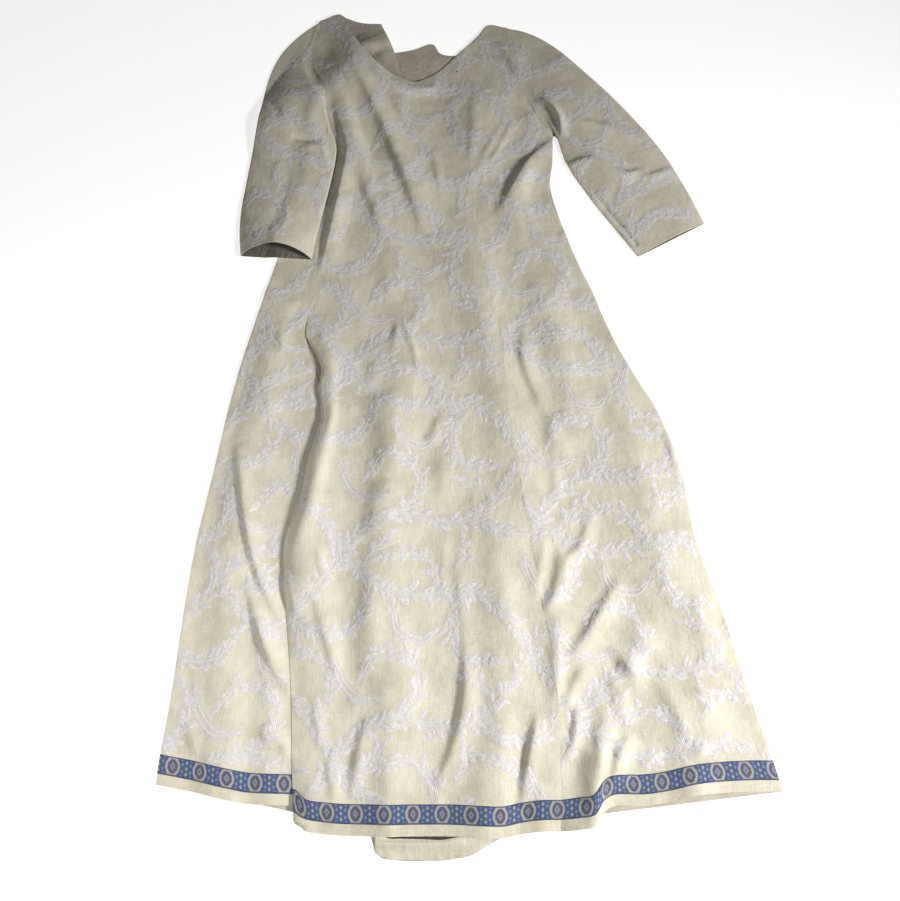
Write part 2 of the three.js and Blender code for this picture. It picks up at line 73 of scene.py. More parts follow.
MM = 0.001
HEM_MIDDLE = np.array([-26.8375, -702.7923, 0.0])   # middle of the front hem, in the frame
SKIN = 0.9              # thickness of a cloth skin
CLEAR = 0.15            # least clearance of a skin over the one beneath it
FINE, COARSE = 3.6, 8.0  # spacing of a skin's points, on the front and on the back
RIBBON_LIFT = 0.95      # top of the ribbon above the cloth
SHARP = math.cos(math.radians(50))   # two faces that turn more than this meet at an edge of the cloth
SHARP_ANGLE = math.radians(65)       # and the rims of thin pieces are shaded as edges beyond this
TINY = 1e-9


# ---- small maths ----

def ease(a, b, value):
    t = np.clip((value - a) / (b - a), 0, 1)
    return t * t * (3 - 2 * t)


def noise(x, y, seed):
    """Smooth noise from -1 to 1, one bump or dip for each unit of x and y."""
    table = np.random.default_rng(seed).uniform(-1, 1, (64, 64))
    i, j = np.floor(x).astype(int), np.floor(y).astype(int)
    u, v = x - i, y - j
    u, v = u * u * (3 - 2 * u), v * v * (3 - 2 * v)
    at = lambda a, b: table[(i + a) % 64, (j + b) % 64]
    low = at(0, 0) * (1 - u) + at(1, 0) * u
    high = at(0, 1) * (1 - u) + at(1, 1) * u
    return low * (1 - v) + high * v


def knots(grid):
    """Mean distance of each row of a grid from its first row, measured along the grid."""
    steps = np.linalg.norm(np.diff(grid, axis=0), axis=-1).mean(axis=1)
    return np.concatenate([[0], np.cumsum(steps)])


def cubic(grid, keys, at):
    """Rows of a grid at the given distances, on a smooth cubic through its own rows."""
    i = np.clip(np.searchsorted(keys, at, side="right") - 1, 0, len(keys) - 2)
    before, after = np.maximum(i - 1, 0), np.minimum(i + 2, len(keys) - 1)
    wide = (slice(None),) + (None,) * (grid.ndim - 1)
    step = (keys[i + 1] - keys[i])[wide]
    t = ((at - keys[i]) / (keys[i + 1] - keys[i]))[wide]
    slope_a = (grid[i + 1] - grid[before]) / (keys[i + 1] - keys[before])[wide]
    slope_b = (grid[after] - grid[i]) / (keys[after] - keys[i])[wide]
    t2, t3 = t * t, t * t * t
    return ((2 * t3 - 3 * t2 + 1) * grid[i] + (t3 - 2 * t2 + t) * step * slope_a
            + (3 * t2 - 2 * t3) * grid[i + 1] + (t3 - t2) * step * slope_b)


def finer(grid, step):
    """A grid of points about `step` apart on the smooth surface through a coarse one."""
    for _ in range(2):
        keys = knots(grid)
        count = max(2, round(keys[-1] / step))
        grid = cubic(grid, keys, np.linspace(0, keys[-1], count + 1)).swapaxes(0, 1)
    return grid


def row_at(grid, distance):
    """The line of a grid at a distance from its first row."""
    return cubic(grid, knots(grid), np.array([distance]))[0]


def unit(vectors):
    return vectors / np.linalg.norm(vectors, axis=-1, keepdims=True)


def smooth_line(points, step=8.0):
    """A smooth line through a few points, as points about `step` apart."""
    points = np.array(points, float)[:, None, :]
    keys = knots(points)
    return cubic(points, keys, np.linspace(0, keys[-1], max(2, round(keys[-1] / step)) + 1))[:, 0]


def along(line, xy):
    """Distance of each point from a line, its side (left +1, right -1), and its share of the length."""
    a, b = line[:-1, :2], line[1:, :2]
    ab = b - a
    length = np.linalg.norm(ab, axis=1)
    start = np.concatenate([[0], np.cumsum(length)])
    best = np.full(len(xy), np.inf)
    side, share = np.ones(len(xy)), np.zeros(len(xy))
    for k in range(len(a)):
        offset = xy - a[k]
        t = np.clip(offset @ ab[k] / length[k] ** 2, 0, 1)
        gap = offset - t[:, None] * ab[k]
        distance = np.hypot(gap[:, 0], gap[:, 1])
        near = distance < best
        best[near] = distance[near]
        cross = ab[k, 0] * offset[:, 1] - ab[k, 1] * offset[:, 0]
        side[near] = np.where(cross[near] >= 0, 1, -1)
        share[near] = (start[k] + t[near] * length[k]) / start[-1]
    return best, side, share


# ---- grids of the solids' faces ----

def owners_of_edges(triangles):
    """The triangles that meet at each edge."""
    owners = {}
    for t, tri in enumerate(triangles):
        for k in range(3):
            owners.setdefault(frozenset((tri[k], tri[k - 1])), []).append(t)
    return owners


def sheet_of(node, highest=True):
    """Points of a solid, and the triangles of its highest or lowest smooth sheet, cut off at sharp edges."""
    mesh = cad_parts[node].data
    points = np.zeros(len(mesh.vertices) * 3)
    mesh.vertices.foreach_get("co", points)
    points = points.reshape(-1, 3) / MM - HEM_MIDDLE
    _, first, merged = np.unique(np.round(points, 2), axis=0, return_index=True, return_inverse=True)
    points, merged = points[first], merged.ravel()
    mesh.calc_loop_triangles()
    corners = np.zeros(len(mesh.loop_triangles) * 3, int)
    mesh.loop_triangles.foreach_get("vertices", corners)
    triangles = merged[corners].reshape(-1, 3)
    a, b, c = points[triangles].swapaxes(0, 1)
    facing = np.cross(b - a, c - a)
    area = np.linalg.norm(facing, axis=1)
    facing /= np.maximum(area, TINY)[:, None]
    pairs = np.array([pair for pair in owners_of_edges(triangles.tolist()).values() if len(pair) == 2])
    pairs = pairs[(facing[pairs[:, 0]] * facing[pairs[:, 1]]).sum(axis=1) > SHARP]
    label, before = np.arange(len(triangles)), None
    while before is None or (label != before).any():
        before = label.copy()
        lowest = label[pairs].min(axis=1)
        np.minimum.at(label, pairs[:, 0], lowest)
        np.minimum.at(label, pairs[:, 1], lowest)
    sheets = [np.flatnonzero(label == k) for k in np.unique(label)]
    widest = max(area[sheet].sum() for sheet in sheets)
    main = [sheet for sheet in sheets if area[sheet].sum() > widest / 2]
    height = lambda sheet: points[triangles[sheet]][:, :, 2].mean()
    return points, triangles[max(main, key=height) if highest else min(main, key=height)]


def lattice(triangles):
    """Row and column of each vertex of a sheet whose quads are all split along the same diagonal.

    Across a side that two quads share, their diagonals touch opposite ends. Each choice of the
    first triangle's diagonal is followed through; the right one makes no rim edge a diagonal.
    """
    triangles = triangles.tolist()
    beside = owners_of_edges(triangles)
    rims = {edge for edge, owners in beside.items() if len(owners) == 1}
    found = []
    for first in range(3):
        x, y, z = (triangles[0] * 2)[first:first + 3]
        place = {0: {x: (0, 0), y: (1, 1), z: (1, 0)}}
        diagonal = {0: frozenset((x, y))}
        queue = [0]
        while queue:
            t = queue.pop()
            here = place[t]
            for k in range(3):
                p, q, third = triangles[t][k], triangles[t][k - 1], triangles[t][k - 2]
                edge = frozenset((p, q))
                other = next((n for n in beside[edge] if n != t), None)
                if other is None or other in place:
                    continue
                new = next(v for v in triangles[other] if v not in edge)
                if edge == diagonal[t]:
                    at = tuple(here[p][i] + here[q][i] - here[third][i] for i in (0, 1))
                    diagonal[other] = edge
                else:
                    if p not in diagonal[t]:
                        p, q = q, p
                    turn = sum(here[p]) - sum(here[q])
                    at = (here[q][0] + turn, here[q][1] + turn)
                    diagonal[other] = frozenset((q, new))
                place[other] = {p: here[p], q: here[q], new: at}
                queue.append(other)
        found.append((len(rims & set(diagonal.values())), first, place))
    return min(found)[2]


def mended(grid):
    """A grid whose missing corner points run on straight from the points beside them."""
    while np.isnan(grid).any():
        for r, c in np.argwhere(np.isnan(grid[:, :, 0])):
            inward = 1 if c < grid.shape[1] / 2 else -1
            grid[r, c] = 2 * grid[r, c + inward] - grid[r, c + 2 * inward]
    return grid


def grid_of(node, highest=True):
    """A solid's sheet as rows and columns of points: rows from the hem or cuff up, columns to the right."""
    points, triangles = sheet_of(node, highest)
    places = [(v, at) for corners in lattice(triangles).values() for v, at in corners.items()]
    vertices = np.array([v for v, _ in places])
    at = np.array([at for _, at in places])
    at -= at.min(axis=0)
    grid = np.full((*at.max(axis=0) + 1, 3), np.nan)
    grid[at[:, 0], at[:, 1]] = points[vertices]
    down, across = (np.nanmean(np.diff(grid[:, :, 1], axis=k)) * (grid.shape[k] - 1) for k in (0, 1))
    if abs(across) > abs(down):
        grid = grid.swapaxes(0, 1)
    if np.nanmean(np.diff(grid[:, :, 1], axis=0)) < 0:
        grid = grid[::-1]
    if np.nanmean(np.diff(grid[:, :, 0], axis=1)) < 0:
        grid = grid[:, ::-1]
    return mended(grid)


# ---- creases ----

# Soft ridges and troughs. The columns are half its width, its lift (below 0 a trough), how far it leans
# (above 0 with its steep side on the left of its line), and then the points of its line. It dies away at
# both ends, and an OPEN one runs out full at the hem.
OPEN = "open"
CREASE_REACH = 3        # a crease ends this many half widths from its line
CREASE_ENDS = 0.6       # how bluntly it dies away at its ends
SHOULDER_CREST = (60, 15.0, 0.2,
                  (-382, 1159), (-305, 1219), (-234, 1262), (-189, 1317), (-172, 1383), (-173, 1457))
FRONT_CREASES = [
    (20, 2.3, -0.2, (-132, 767), (-124, 722), (-126, 687)),
    (26, 6.2, -0.1, (-120, 674), (-102, 609), (-99, 566), (-106, 531)),
    (24, 6.6, -0.15, (-97, 528), (-113, 487), (-118, 420)),
    (22, 6.6, -0.1, (-122, 428), (-121, 353), (-125, 274), (-129, 201)),
    (22, 3.9, 0.0, (-133, 210), (-134, 165)),
    (13, 5.5, -0.4, (-119, 170), (-134, 114), (-144, 51)),
    (11, 3.1, -0.3, (-12, 640), (-23, 612), (-36, 585)),
    (16, 3.1, -0.2, (-10, 592), (-11, 492)),
    (6, 1.2, -0.2, (-11, 436), (-8, 334)),
    (14, 3.5, -0.3, (11, 396), (20, 319), (26, 252)),
    (14, 7.0, -0.45, (24, 274), (23, 201), (12, 141), (-3, 100), (-20, 64)),
    (3, 0.9, -0.4, (37, 517), (35, 404)),
    (11, 6.6, -0.5, (130, 167), (116, 109), (102, 40)),
    (9, 5.1, -0.45, (190, 181), (182, 130), (169, 103)),
    (12, 6.6, -0.5, (270, 139), (251, 116), (233, 59)),
    (13, 4.7, -0.4, (129, 800), (122, 758), (127, 717), (141, 678), (161, 636)),
    (17, 3.5, -0.3, (163, 640), (172, 558)),
    (10, 2.3, -0.2, (167, 561), (171, 495)),
    (10, 3.9, -0.3, (227, 479), (205, 418), (183, 395), (178, 347)),
    (11, 5.5, -0.4, (175, 415), (165, 357), (146, 310)),
    (9, 2.7, 0.3, (152, 447), (143, 393), (132, 334)),
    (14, 6.2, -0.4, (268, 371), (241, 330), (215, 289), (194, 262), (180, 227)),
    (11, 4.7, -0.4, (206, 239), (187, 210), (172, 175)),
    (13, 3.9, -0.2, (160, 307), (162, 245), (160, 181)),
    (8, 2.3, -0.3, (237, 256), (261, 245), (282, 221)),
    (15, 3.9, -0.3, (305, 216), (334, 181), (350, 133)),
    (22, 4.7, -0.2, (376, 356), (387, 297), (397, 237)),
    (7, 2.3, 0, (279, 96), (310, 114)),
    (20, -9.0, 0, (265, 289), (252, 223), (239, 170), (219, 108)),
    (9, 2.3, -0.3, (362, 105), (379, 127)),
    (9, 3.1, -0.4, (422, 347), (432, 274)),
    (9, 3.1, -0.4, (351, 609), (368, 538)),
    (11, 3.9, -0.3, (-210, 350), (-195, 297), (-179, 252), (-169, 221)),
    (8, 2.3, -0.3, (-204, 192), (-189, 116)),
    (9, 2.7, -0.3, (-180, 108), (-166, 48)),
    (7, 2.0, -0.3, (-208, 415), (-197, 373)),
    (6, 2.3, -0.3, (-82, 808), (-61, 749), (-53, 704)),
    (22, 3.1, 0.3, (-98, 841), (-111, 908), (-126, 927)),
    (7, 2.0, -0.3, (-89, 811), (-96, 746)),
    (17, 7.5, -0.4, (-188, 1337), (-152, 1262), (-117, 1180), (-86, 1101), (-62, 1031), (-44, 972)),
    (8, 2.5, -0.3, (-107, 1253), (-81, 1193)),
    (15, 6.0, 0.1, (-224, 1306), (-193, 1227), (-167, 1148), (-136, 1056)),
    (12, 3.5, -0.2, (-177, 1121), (-143, 1045), (-116, 966)),
    (10, 2.5, -0.3, (-33, 1142), (-14, 1056)),
    (10, 2.0, -0.3, (45, 1266), (36, 1107)),
    (15, 7.0, -0.45, (193, 1163), (159, 1134), (133, 1101), (109, 1056), (83, 1007)),
    (8, 2.2, -0.2, (99, 1201), (69, 1142), (47, 1092)),
    (6, 2.0, 0, (121, 1206), (95, 1159), (72, 1107)),
    (10, 4.5, -0.3, (89, 1374), (113, 1337), (127, 1293)),
    (14, 11.0, -0.62, (-214, 1236), (-195, 1176), (-188, 1134), (-194, 1076), (-204, 1015), (-214, 956),
     (-225, 898)),
    SHOULDER_CREST,
    (13, 6.0, 0, (-146, 1311), (-108, 1277), (-65, 1264), (-19, 1282)),
    (11, 6.8, -0.45, (-347, 585), (-330, 492), (-311, 409), (-289, 353), (-255, 292)),
    (9, 4.2, -0.4, (-259, 374), (-236, 310)),
    (11, 6.8, -0.45, (-316, 365), (-288, 280), (-268, 239), (-240, 192)),
    (9, 3.4, -0.4, (-281, 150), (-261, 119)),
    (9, 3.8, -0.4, (-260, 147), (-237, 103)),
    (8, 3.0, -0.4, (-393, 158), (-374, 108)),
    (8, 2.5, -0.3, (-290, 786), (-279, 746)),
    (12, 2.5, -0.3, (-300, 687), (-296, 626)),
    (12, 2.5, 0.2, (-324, 869), (-285, 841), (-247, 834)),
]
FOLD_CREASES = [
    (14, 3.5, -0.3, (-227, 775), (-209, 717), (-226, 682), (-217, 626), (-225, 575), (-229, 492),
     (-239, 440), (-251, 393), (-255, 357)),
    (25, -8.0, 0, (-229, 357), (-218, 259), (-209, 158), (-193, 2), OPEN),
]
SLEEVE_CREASES = [
    (26, -9.0, 0, (-361, 1219), (-330, 1328), (-270, 1406), (-207, 1443)),
    (12, 6.0, 0.45, (202, 1105), (256, 1117), (307, 1088), (356, 1096)),
    (9, 3.5, 0.3, (341, 1076), (400, 1101)),
    (9, 3.0, 0.3, (224, 1201), (296, 1184), (346, 1159)),
    (3.5, -2.0, 0, (254, 1056), (288, 1005), (326, 950), OPEN),
    (7, 9.0, -0.4, (166, 1249), (186, 1229), (198, 1206), (204, 1167)),
    (6, -4.5, 0, (-288, 1161), (-233, 1153)),
    (7, 3.0, 0, (-272, 1138), (-232, 1138), (-220, 1109)),
    SHOULDER_CREST,
    (8, -2.5, 0, (-333, 1245), (-308, 1201)),
]
TURNUP_CREASES = [
    (5, 5.0, 0.4, (-136, -5), (-100, -8), (-57, -9), (-10, -8), (22, -4)),
]
PLACKET_CREASES = [
    (20, 3.0, -0.2, (-205, 1300), (-136, 1332), (-112, 1385)),
]
BACK_CREASES = [
    (20, 12.0, -0.3, (-218, 1316), (-165, 1360), (-103, 1382)),
    (22, -0.3, 0, (-250, 1020), (-210, 760), (-190, 420)),
    (24, -0.3, 0.2, (120, 1040), (150, 700), (190, 330)),
    (18, -0.3, 0, (-20, 620), (10, 380), (0, 150)),
]


def creased(grid, creases):
    """Lift of each point of a grid by a table of creases."""
    xy = grid[..., :2].reshape(-1, 2)
    lift = np.zeros(len(xy))
    for half, high, lean, *through in creases:
        is_open = through[-1] == OPEN
        line = smooth_line(through[:-1] if is_open else through)
        reach = CREASE_REACH * half
        near = ((xy > line.min(axis=0) - reach) & (xy < line.max(axis=0) + reach)).all(axis=1)
        if near.any():
            distance, side, share = along(line, xy[near])
            share = np.minimum(share, 0.5) if is_open else share
            wide = half * (1 - side * lean)
            lift[near] += high * np.sin(np.pi * share) ** CREASE_ENDS * np.exp(-(distance / wide) ** 2)
    return lift.reshape(grid.shape[:-1])


# Rows of unevenness: lift, length of a bump in x and in y, shift in x and in y, and seed.
CRUMPLED = [(0.7, 55, 95, 9, 0, 1), (0.3, 21, 30, 0, 5, 2), (0.12, 9, 10, 0, 0, 3)]
RIPPLED = [(1, 7.5, 7.5, 0, 0, 11), (0.6, 15, 15, 3, 0, 12)]


def uneven(grid, rows):
    x, y = grid[..., 0], grid[..., 1]
    return sum(lift * noise(x / wide + right, y / high + up, seed)
               for lift, wide, high, right, up, seed in rows)


def crumple(grid, amount=1.0):
    """The cloth's small unevenness: long swells, then shorter and shallower ones."""
    return amount * uneven(grid, CRUMPLED)


# ---- embroidery, laid out in plan ----

REPEAT = (292, 308)      # one repeat of the scrolls; each column of repeats drops by half of it
LEAF_STEP = 9.2          # from one leaf to the next along a vine, on alternate sides
LEAF = (22.0, 11.0)       # length and width of a leaf
TIP_LEAF = (27.0, 10.0)
LEAF_ANGLE = 38          # degrees off the stem
LEAF_OFF = 2.2           # how far beside the vine a leaf starts
SMALL_LEAF, SMALL_SHARE = 0.55, 0.5   # size of the small leaves between, and how many there are
LEAF_ROOM = 5.0          # least distance between the middles of two leaves
LEAF_SIZES, LEAF_WIDTHS = (0.72, 1.2), (0.7, 1.15)   # shares of its length and width a leaf may have
LEAF_SWAY, LEAF_STRAY = 24, 2.5   # how far a leaf's direction, in degrees, and its place may be off
CURL_FIRST, CURL_FALL = 1.05, 0.3   # size of a leaf where a curl starts, and how much it falls to its end
MISSING, BARE = 0.08, 0.1   # shares of the leaves, and of whole curls and twigs, left out
STEM_WIDE, STEM_APART = 2.3, 3.0
CRESCENT_WIDE, CRESCENT_LINE = 8.5, 4.4
PATH_STEP = 4.0

# The scrolls of one repeat, each along a smooth line. A vine runs on into the next repeat, a curl
# and a twig end in a leaf, and a crescent is a bare double line.
SCROLLS = [
    dict(kind="vine", through=[(0, 25), (54, 33), (109, 91), (156, 158), (219, 192), (292, 179)]),
    dict(kind="vine", through=[(0, 218), (47, 227), (103, 187), (143, 125), (205, 74), (292, 64)]),
    dict(kind="curl", through=[(103, 187), (129, 230), (116, 274), (67, 292)]),
    dict(kind="curl", through=[(219, 192), (259, 230), (248, 279), (201, 292), (178, 263)]),
    dict(kind="curl", through=[(54, 33), (103, 7), (156, 16), (178, 49)]),
    dict(kind="curl", through=[(47, 227), (16, 178), (31, 125), (78, 120)]),
    dict(kind="curl", through=[(292, 64), (279, 111), (239, 134), (203, 125)]),
    dict(kind="crescent", through=[(129, 279), (145, 241), (174, 218), (212, 223)]),
    dict(kind="crescent", through=[(219, 45), (227, 11), (263, -2), (288, 16)]),
    dict(kind="twig", through=[(76, 74), (54, 89), (38, 94)]),
    dict(kind="twig", through=[(167, 107), (185, 134), (205, 152)]),
    dict(kind="twig", through=[(22, 263), (38, 279), (36, 299)]),
]


def beside_path(points, heading, apart):
    """A path moved sideways, to its left, by a distance that may change along it."""
    normal = np.stack([-np.sin(heading), np.cos(heading)], axis=1)
    return points + normal * np.reshape(apart, (-1, 1))


def one_repeat(rng):
    """Leaves (x, y, direction, length, width) and stems (points, width) of one repeat."""
    leaves, stems = [], []
    for row in SCROLLS:
        points = smooth_line(row["through"], PATH_STEP)
        ahead = np.gradient(points, axis=0)
        heading = np.unwrap(np.arctan2(ahead[:, 1], ahead[:, 0]))
        t = np.linspace(0, 1, len(points))
        if row["kind"] == "crescent":
            apart = CRESCENT_WIDE / 2 * np.sin(np.pi * t) ** 0.8
            stems += [(beside_path(points, heading, side * apart), CRESCENT_LINE) for side in (1, -1)]
            continue
        runs_on = row["kind"] == "vine"
        if rng.random() < BARE and not runs_on:
            continue
        apart = STEM_APART / 2 * (np.ones(len(t)) if runs_on else (1 - t) ** 0.5)
        stems += [(beside_path(points, heading, side * apart), STEM_WIDE) for side in (1, -1)]
        if not runs_on:
            leaves.append((*points[-1], heading[-1], *TIP_LEAF))
        length = knots(points[:, None])[-1]
        first = LEAF_STEP * (2 if row["kind"] == "twig" else 1)
        for k, distance in enumerate(np.arange(first, length - LEAF_STEP * 0.3, LEAF_STEP)):
            if rng.random() < MISSING:
                continue
            side = 1 if k % 2 else -1
            i = min(int(distance / length * len(points)), len(points) - 1)
            size = rng.uniform(*LEAF_SIZES) * (1 if runs_on else CURL_FIRST - CURL_FALL * t[i])
            across = np.array([-math.sin(heading[i]), math.cos(heading[i])])
            for small in (1, SMALL_LEAF)[:1 + (rng.random() < SMALL_SHARE)]:
                direction = heading[i] + side * math.radians(LEAF_ANGLE + rng.uniform(-LEAF_SWAY, LEAF_SWAY))
                base = points[i] + rng.uniform(-LEAF_STRAY, LEAF_STRAY, 2) + LEAF_OFF * side * across
                wide = LEAF[1] * rng.uniform(*LEAF_WIDTHS) * small ** 0.5
                leaves.append((*base, direction, LEAF[0] * size * small, wide))
                side = -side
    return leaves, stems


def laid_scrolls(box, angle, shift, seed):
    """Leaves and stems of as many repeats as cover a box, turned to the grain of the cloth."""
    rng = np.random.default_rng(seed)
    turn = math.radians(angle)
    spin = np.array([[math.cos(turn), -math.sin(turn)], [math.sin(turn), math.cos(turn)]])
    low, high = np.array(box)
    middle, reach = (low + high) / 2, np.linalg.norm(high - low) / 2 + max(REPEAT)
    leaves, stems = [], []
    for i in range(-int(reach / REPEAT[0]) - 1, int(reach / REPEAT[0]) + 2):
        for j in range(-int(reach / REPEAT[1]) - 1, int(reach / REPEAT[1]) + 2):
            corner = np.array([i * REPEAT[0], (j + 0.5 * (i % 2)) * REPEAT[1]]) + shift
            some_leaves, some_stems = one_repeat(rng)
            for x, y, direction, long, wide in some_leaves:
                at = middle + spin @ (corner + (x, y))
                if (at > low).all() and (at < high).all():
                    leaves.append((*at, direction + turn, long, wide))
            for points, wide in some_stems:
                points = middle + (corner + points) @ spin.T
                if ((points > low) & (points < high)).all(axis=1).any():
                    stems.append((points, wide))
    halfway = lambda x, y, a, long, _: (x + math.cos(a) * long / 2, y + math.sin(a) * long / 2)
    middles = np.array([halfway(*leaf) for leaf in leaves])
    kept = []
    for k, at in enumerate(middles):
        if not kept or np.hypot(*(middles[kept] - at).T).min() > LEAF_ROOM:
            kept.append(k)
    return [leaves[k] for k in kept], stems


def clear_of_hem(hem, leaves, stems, calm):
    """Only what lies further than `calm` from a hem or cuff."""
    clear = lambda points: along(hem, np.asarray(points)[:, :2])[0] > calm
    leaves = [leaf for leaf, good in zip(leaves, clear(leaves)) if good]
    stretches = []
    for points, wide in stems:
        ends = np.flatnonzero(~clear(points))
        stretches += [(part[1:] if len(ends) and k else part, wide)
                      for k, part in enumerate(np.split(points, ends))]
    return leaves, [(points, wide) for points, wide in stretches if len(points) > 2]


class Pucker:
    """How much the cloth is drawn up by the embroidery: a soft map of where its threads lie."""
    CELL, MARGIN, BLURS = 3.0, 20, 5
    FULL = 0.12       # threads in a cell, once blurred, at which the cloth is fully worked

    def __init__(self, box, leaves, stems):
        self.low = np.array(box[0]) - self.MARGIN
        shape = ((np.array(box[1]) + self.MARGIN - self.low) / self.CELL).astype(int) + 1
        dots = [np.array([leaf[:2] for leaf in leaves]).reshape(-1, 2)] + [points for points, _ in stems]
        cells = ((np.concatenate(dots) - self.low) / self.CELL).astype(int)
        cells = cells[((cells >= 0) & (cells < shape)).all(axis=1)]
        self.map = np.zeros(shape)
        np.add.at(self.map, tuple(cells.T), 1)
        for _ in range(self.BLURS):
            for axis in (0, 1):
                self.map = (np.roll(self.map, 1, axis) + 2 * self.map + np.roll(self.map, -1, axis)) / 4
        self.map = np.clip(self.map / self.FULL, 0, 1)

    def worked(self, grid):
        """Share of the cloth that is worked, from 0 to 1, at each point of a grid."""
        cells = np.clip(((grid[..., :2] - self.low) / self.CELL).astype(int), 0, np.array(self.map.shape) - 1)
        return self.map[cells[..., 0], cells[..., 1]]

    def lift(self, grid):
        return self.worked(grid) * (PUCKER_LIFT + PUCKER_DEEP * uneven(grid, RIPPLED))


PUCKER_LIFT, PUCKER_DEEP = 0.25, 0.3   # how far the cloth rises under the threads, and how unevenly


# ---- skins ----

def edge_runs(grid):
    """Distance of each point of a grid from its left, right, low and high edge, along the grid."""
    across = np.linalg.norm(np.diff(grid, axis=1), axis=2)
    up = np.linalg.norm(np.diff(grid, axis=0), axis=2)
    left = np.concatenate([np.zeros((len(grid), 1)), np.cumsum(across, axis=1)], axis=1)
    low = np.concatenate([np.zeros((1, grid.shape[1])), np.cumsum(up, axis=0)])
    return left, left[:, -1:] - left, low, low[-1:] - low


def rounded(distance, width, deep):
    """How far cloth falls within `width` of an edge that rolls over by `deep`."""
    t = 1 - np.clip(distance / width, 0, 1)
    return deep * (1 - np.sqrt(1 - t * t))


def quads_of(rows, columns, wraps=False):
    r, c = np.meshgrid(np.arange(rows - 1), np.arange(columns if wraps else columns - 1), indexing="ij")
    r, c, d = r.ravel(), c.ravel(), ((c + 1) % columns).ravel()
    return np.stack([r * columns + c, r * columns + d, (r + 1) * columns + d, (r + 1) * columns + c], axis=1)


def placed(name, data):
    """A new object in the scene."""
    piece = bpy.data.objects.new(name, data)
    bpy.context.scene.collection.objects.link(piece)
    return piece


def mesh_object(name, points, faces, uv=None, face_material=None, worked=None):
    """A smooth-shaded object from points in garment millimetres.

    Each point may have a uv, in metres, and the share of its cloth that is worked with threads.
    """
    mesh = bpy.data.meshes.new(name)
    faces = faces.tolist() if isinstance(faces, np.ndarray) else faces
    mesh.from_pydata(((np.asarray(points) + HEM_MIDDLE) * MM).tolist(), [], faces)
    mesh.polygons.foreach_set("use_smooth", np.ones(len(mesh.polygons), bool))
    if uv is not None:
        corner = np.zeros(len(mesh.loops), int)
        mesh.loops.foreach_get("vertex_index", corner)
        layer = mesh.uv_layers.new(name="cloth")
        layer.data.foreach_set("uv", np.asarray(uv)[corner].ravel())
    if worked is not None:
        mesh.attributes.new("worked", "FLOAT", "POINT").data.foreach_set("value", worked)
    if face_material is not None:
        mesh.polygons.foreach_set("material_index", face_material)
    mesh.update()
    mesh.set_sharp_from_angle(angle=SHARP_ANGLE)
    return placed(name, mesh)


def shell(name, top, under, uv, worked=None, wraps=False):
    """A closed thin piece between two grids of points. Its faces on the `under` side take material 1."""
    rows, columns, _ = top.shape
    layer = rows * columns
    upper = quads_of(rows, columns, wraps)
    lower = upper[:, ::-1] + layer
    index = np.arange(layer).reshape(rows, columns)
    if wraps:
        rims = [np.append(index[0], index[0, 0]), np.append(index[-1], index[-1, 0])[::-1]]
    else:
        rims = [np.concatenate([index[0, :-1], index[:-1, -1], index[-1, :0:-1], index[::-1, 0]])]
    edge = [np.stack([rim[:-1] + layer, rim[1:] + layer, rim[1:], rim[:-1]], axis=1) for rim in rims]
    faces = np.concatenate([upper, lower] + edge)
    side = np.zeros(len(faces), int)
    side[len(upper):2 * len(upper)] = 1
    points = np.concatenate([top.reshape(-1, 3), under.reshape(-1, 3)])
    uv = uv.reshape(-1, 2)
    worked = np.zeros(layer) if worked is None else worked.ravel()
    return mesh_object(name, points, faces, np.concatenate([uv, uv]), side, np.concatenate([worked, worked]))


def tree_of(grid):
    rows, columns, _ = grid.shape
    return BVHTree.FromPolygons(grid.reshape(-1, 3).tolist(), quads_of(rows, columns).tolist())


SKY = 90.0   # above everything


def height_on(trees, grid):
    """Height of the highest of some surfaces at each point of a grid, or 0 where there is only the floor."""
    xy = grid[..., :2].reshape(-1, 2)
    heights = np.zeros(len(xy))
    for tree in trees:
        for i, (x, y) in enumerate(xy.tolist()):
            hit = tree.ray_cast(Vector((x, y, SKY)), (0, 0, -1))[0]
            if hit is not None and hit.z > heights[i]:
                heights[i] = hit.z
    return heights.reshape(grid.shape[:-1])


def grain_uv(grid, angle):
    """Plan coordinates turned to the grain of the cloth, in metres."""
    turn = math.radians(angle)
    x, y, cos, sin = grid[..., 0] * MM, grid[..., 1] * MM, math.cos(turn), math.sin(turn)
    return np.stack([x * cos + y * sin, y * cos - x * sin], axis=-1)


# ---- the body's panels ----

# Front panels: the grain's angle in degrees, where the scrolls' repeat starts, and the panel's creases.
FRONT_PANELS = {
    "front_side_left": dict(grain=-7, shift=(130, 60), creases=FRONT_CREASES, seed=21),
    "front_centre": dict(grain=0, shift=(35, 20), creases=FRONT_CREASES + FOLD_CREASES, seed=22),
    "front_side_right": dict(grain=9, shift=(10, 190), creases=FRONT_CREASES, seed=23),
}
BACK_PANELS = {
    "back_left": dict(grain=-4, shift=(90, 130), creases=BACK_CREASES, seed=31),
    "back_right": dict(grain=4, shift=(160, 40), creases=BACK_CREASES, seed=32),
}
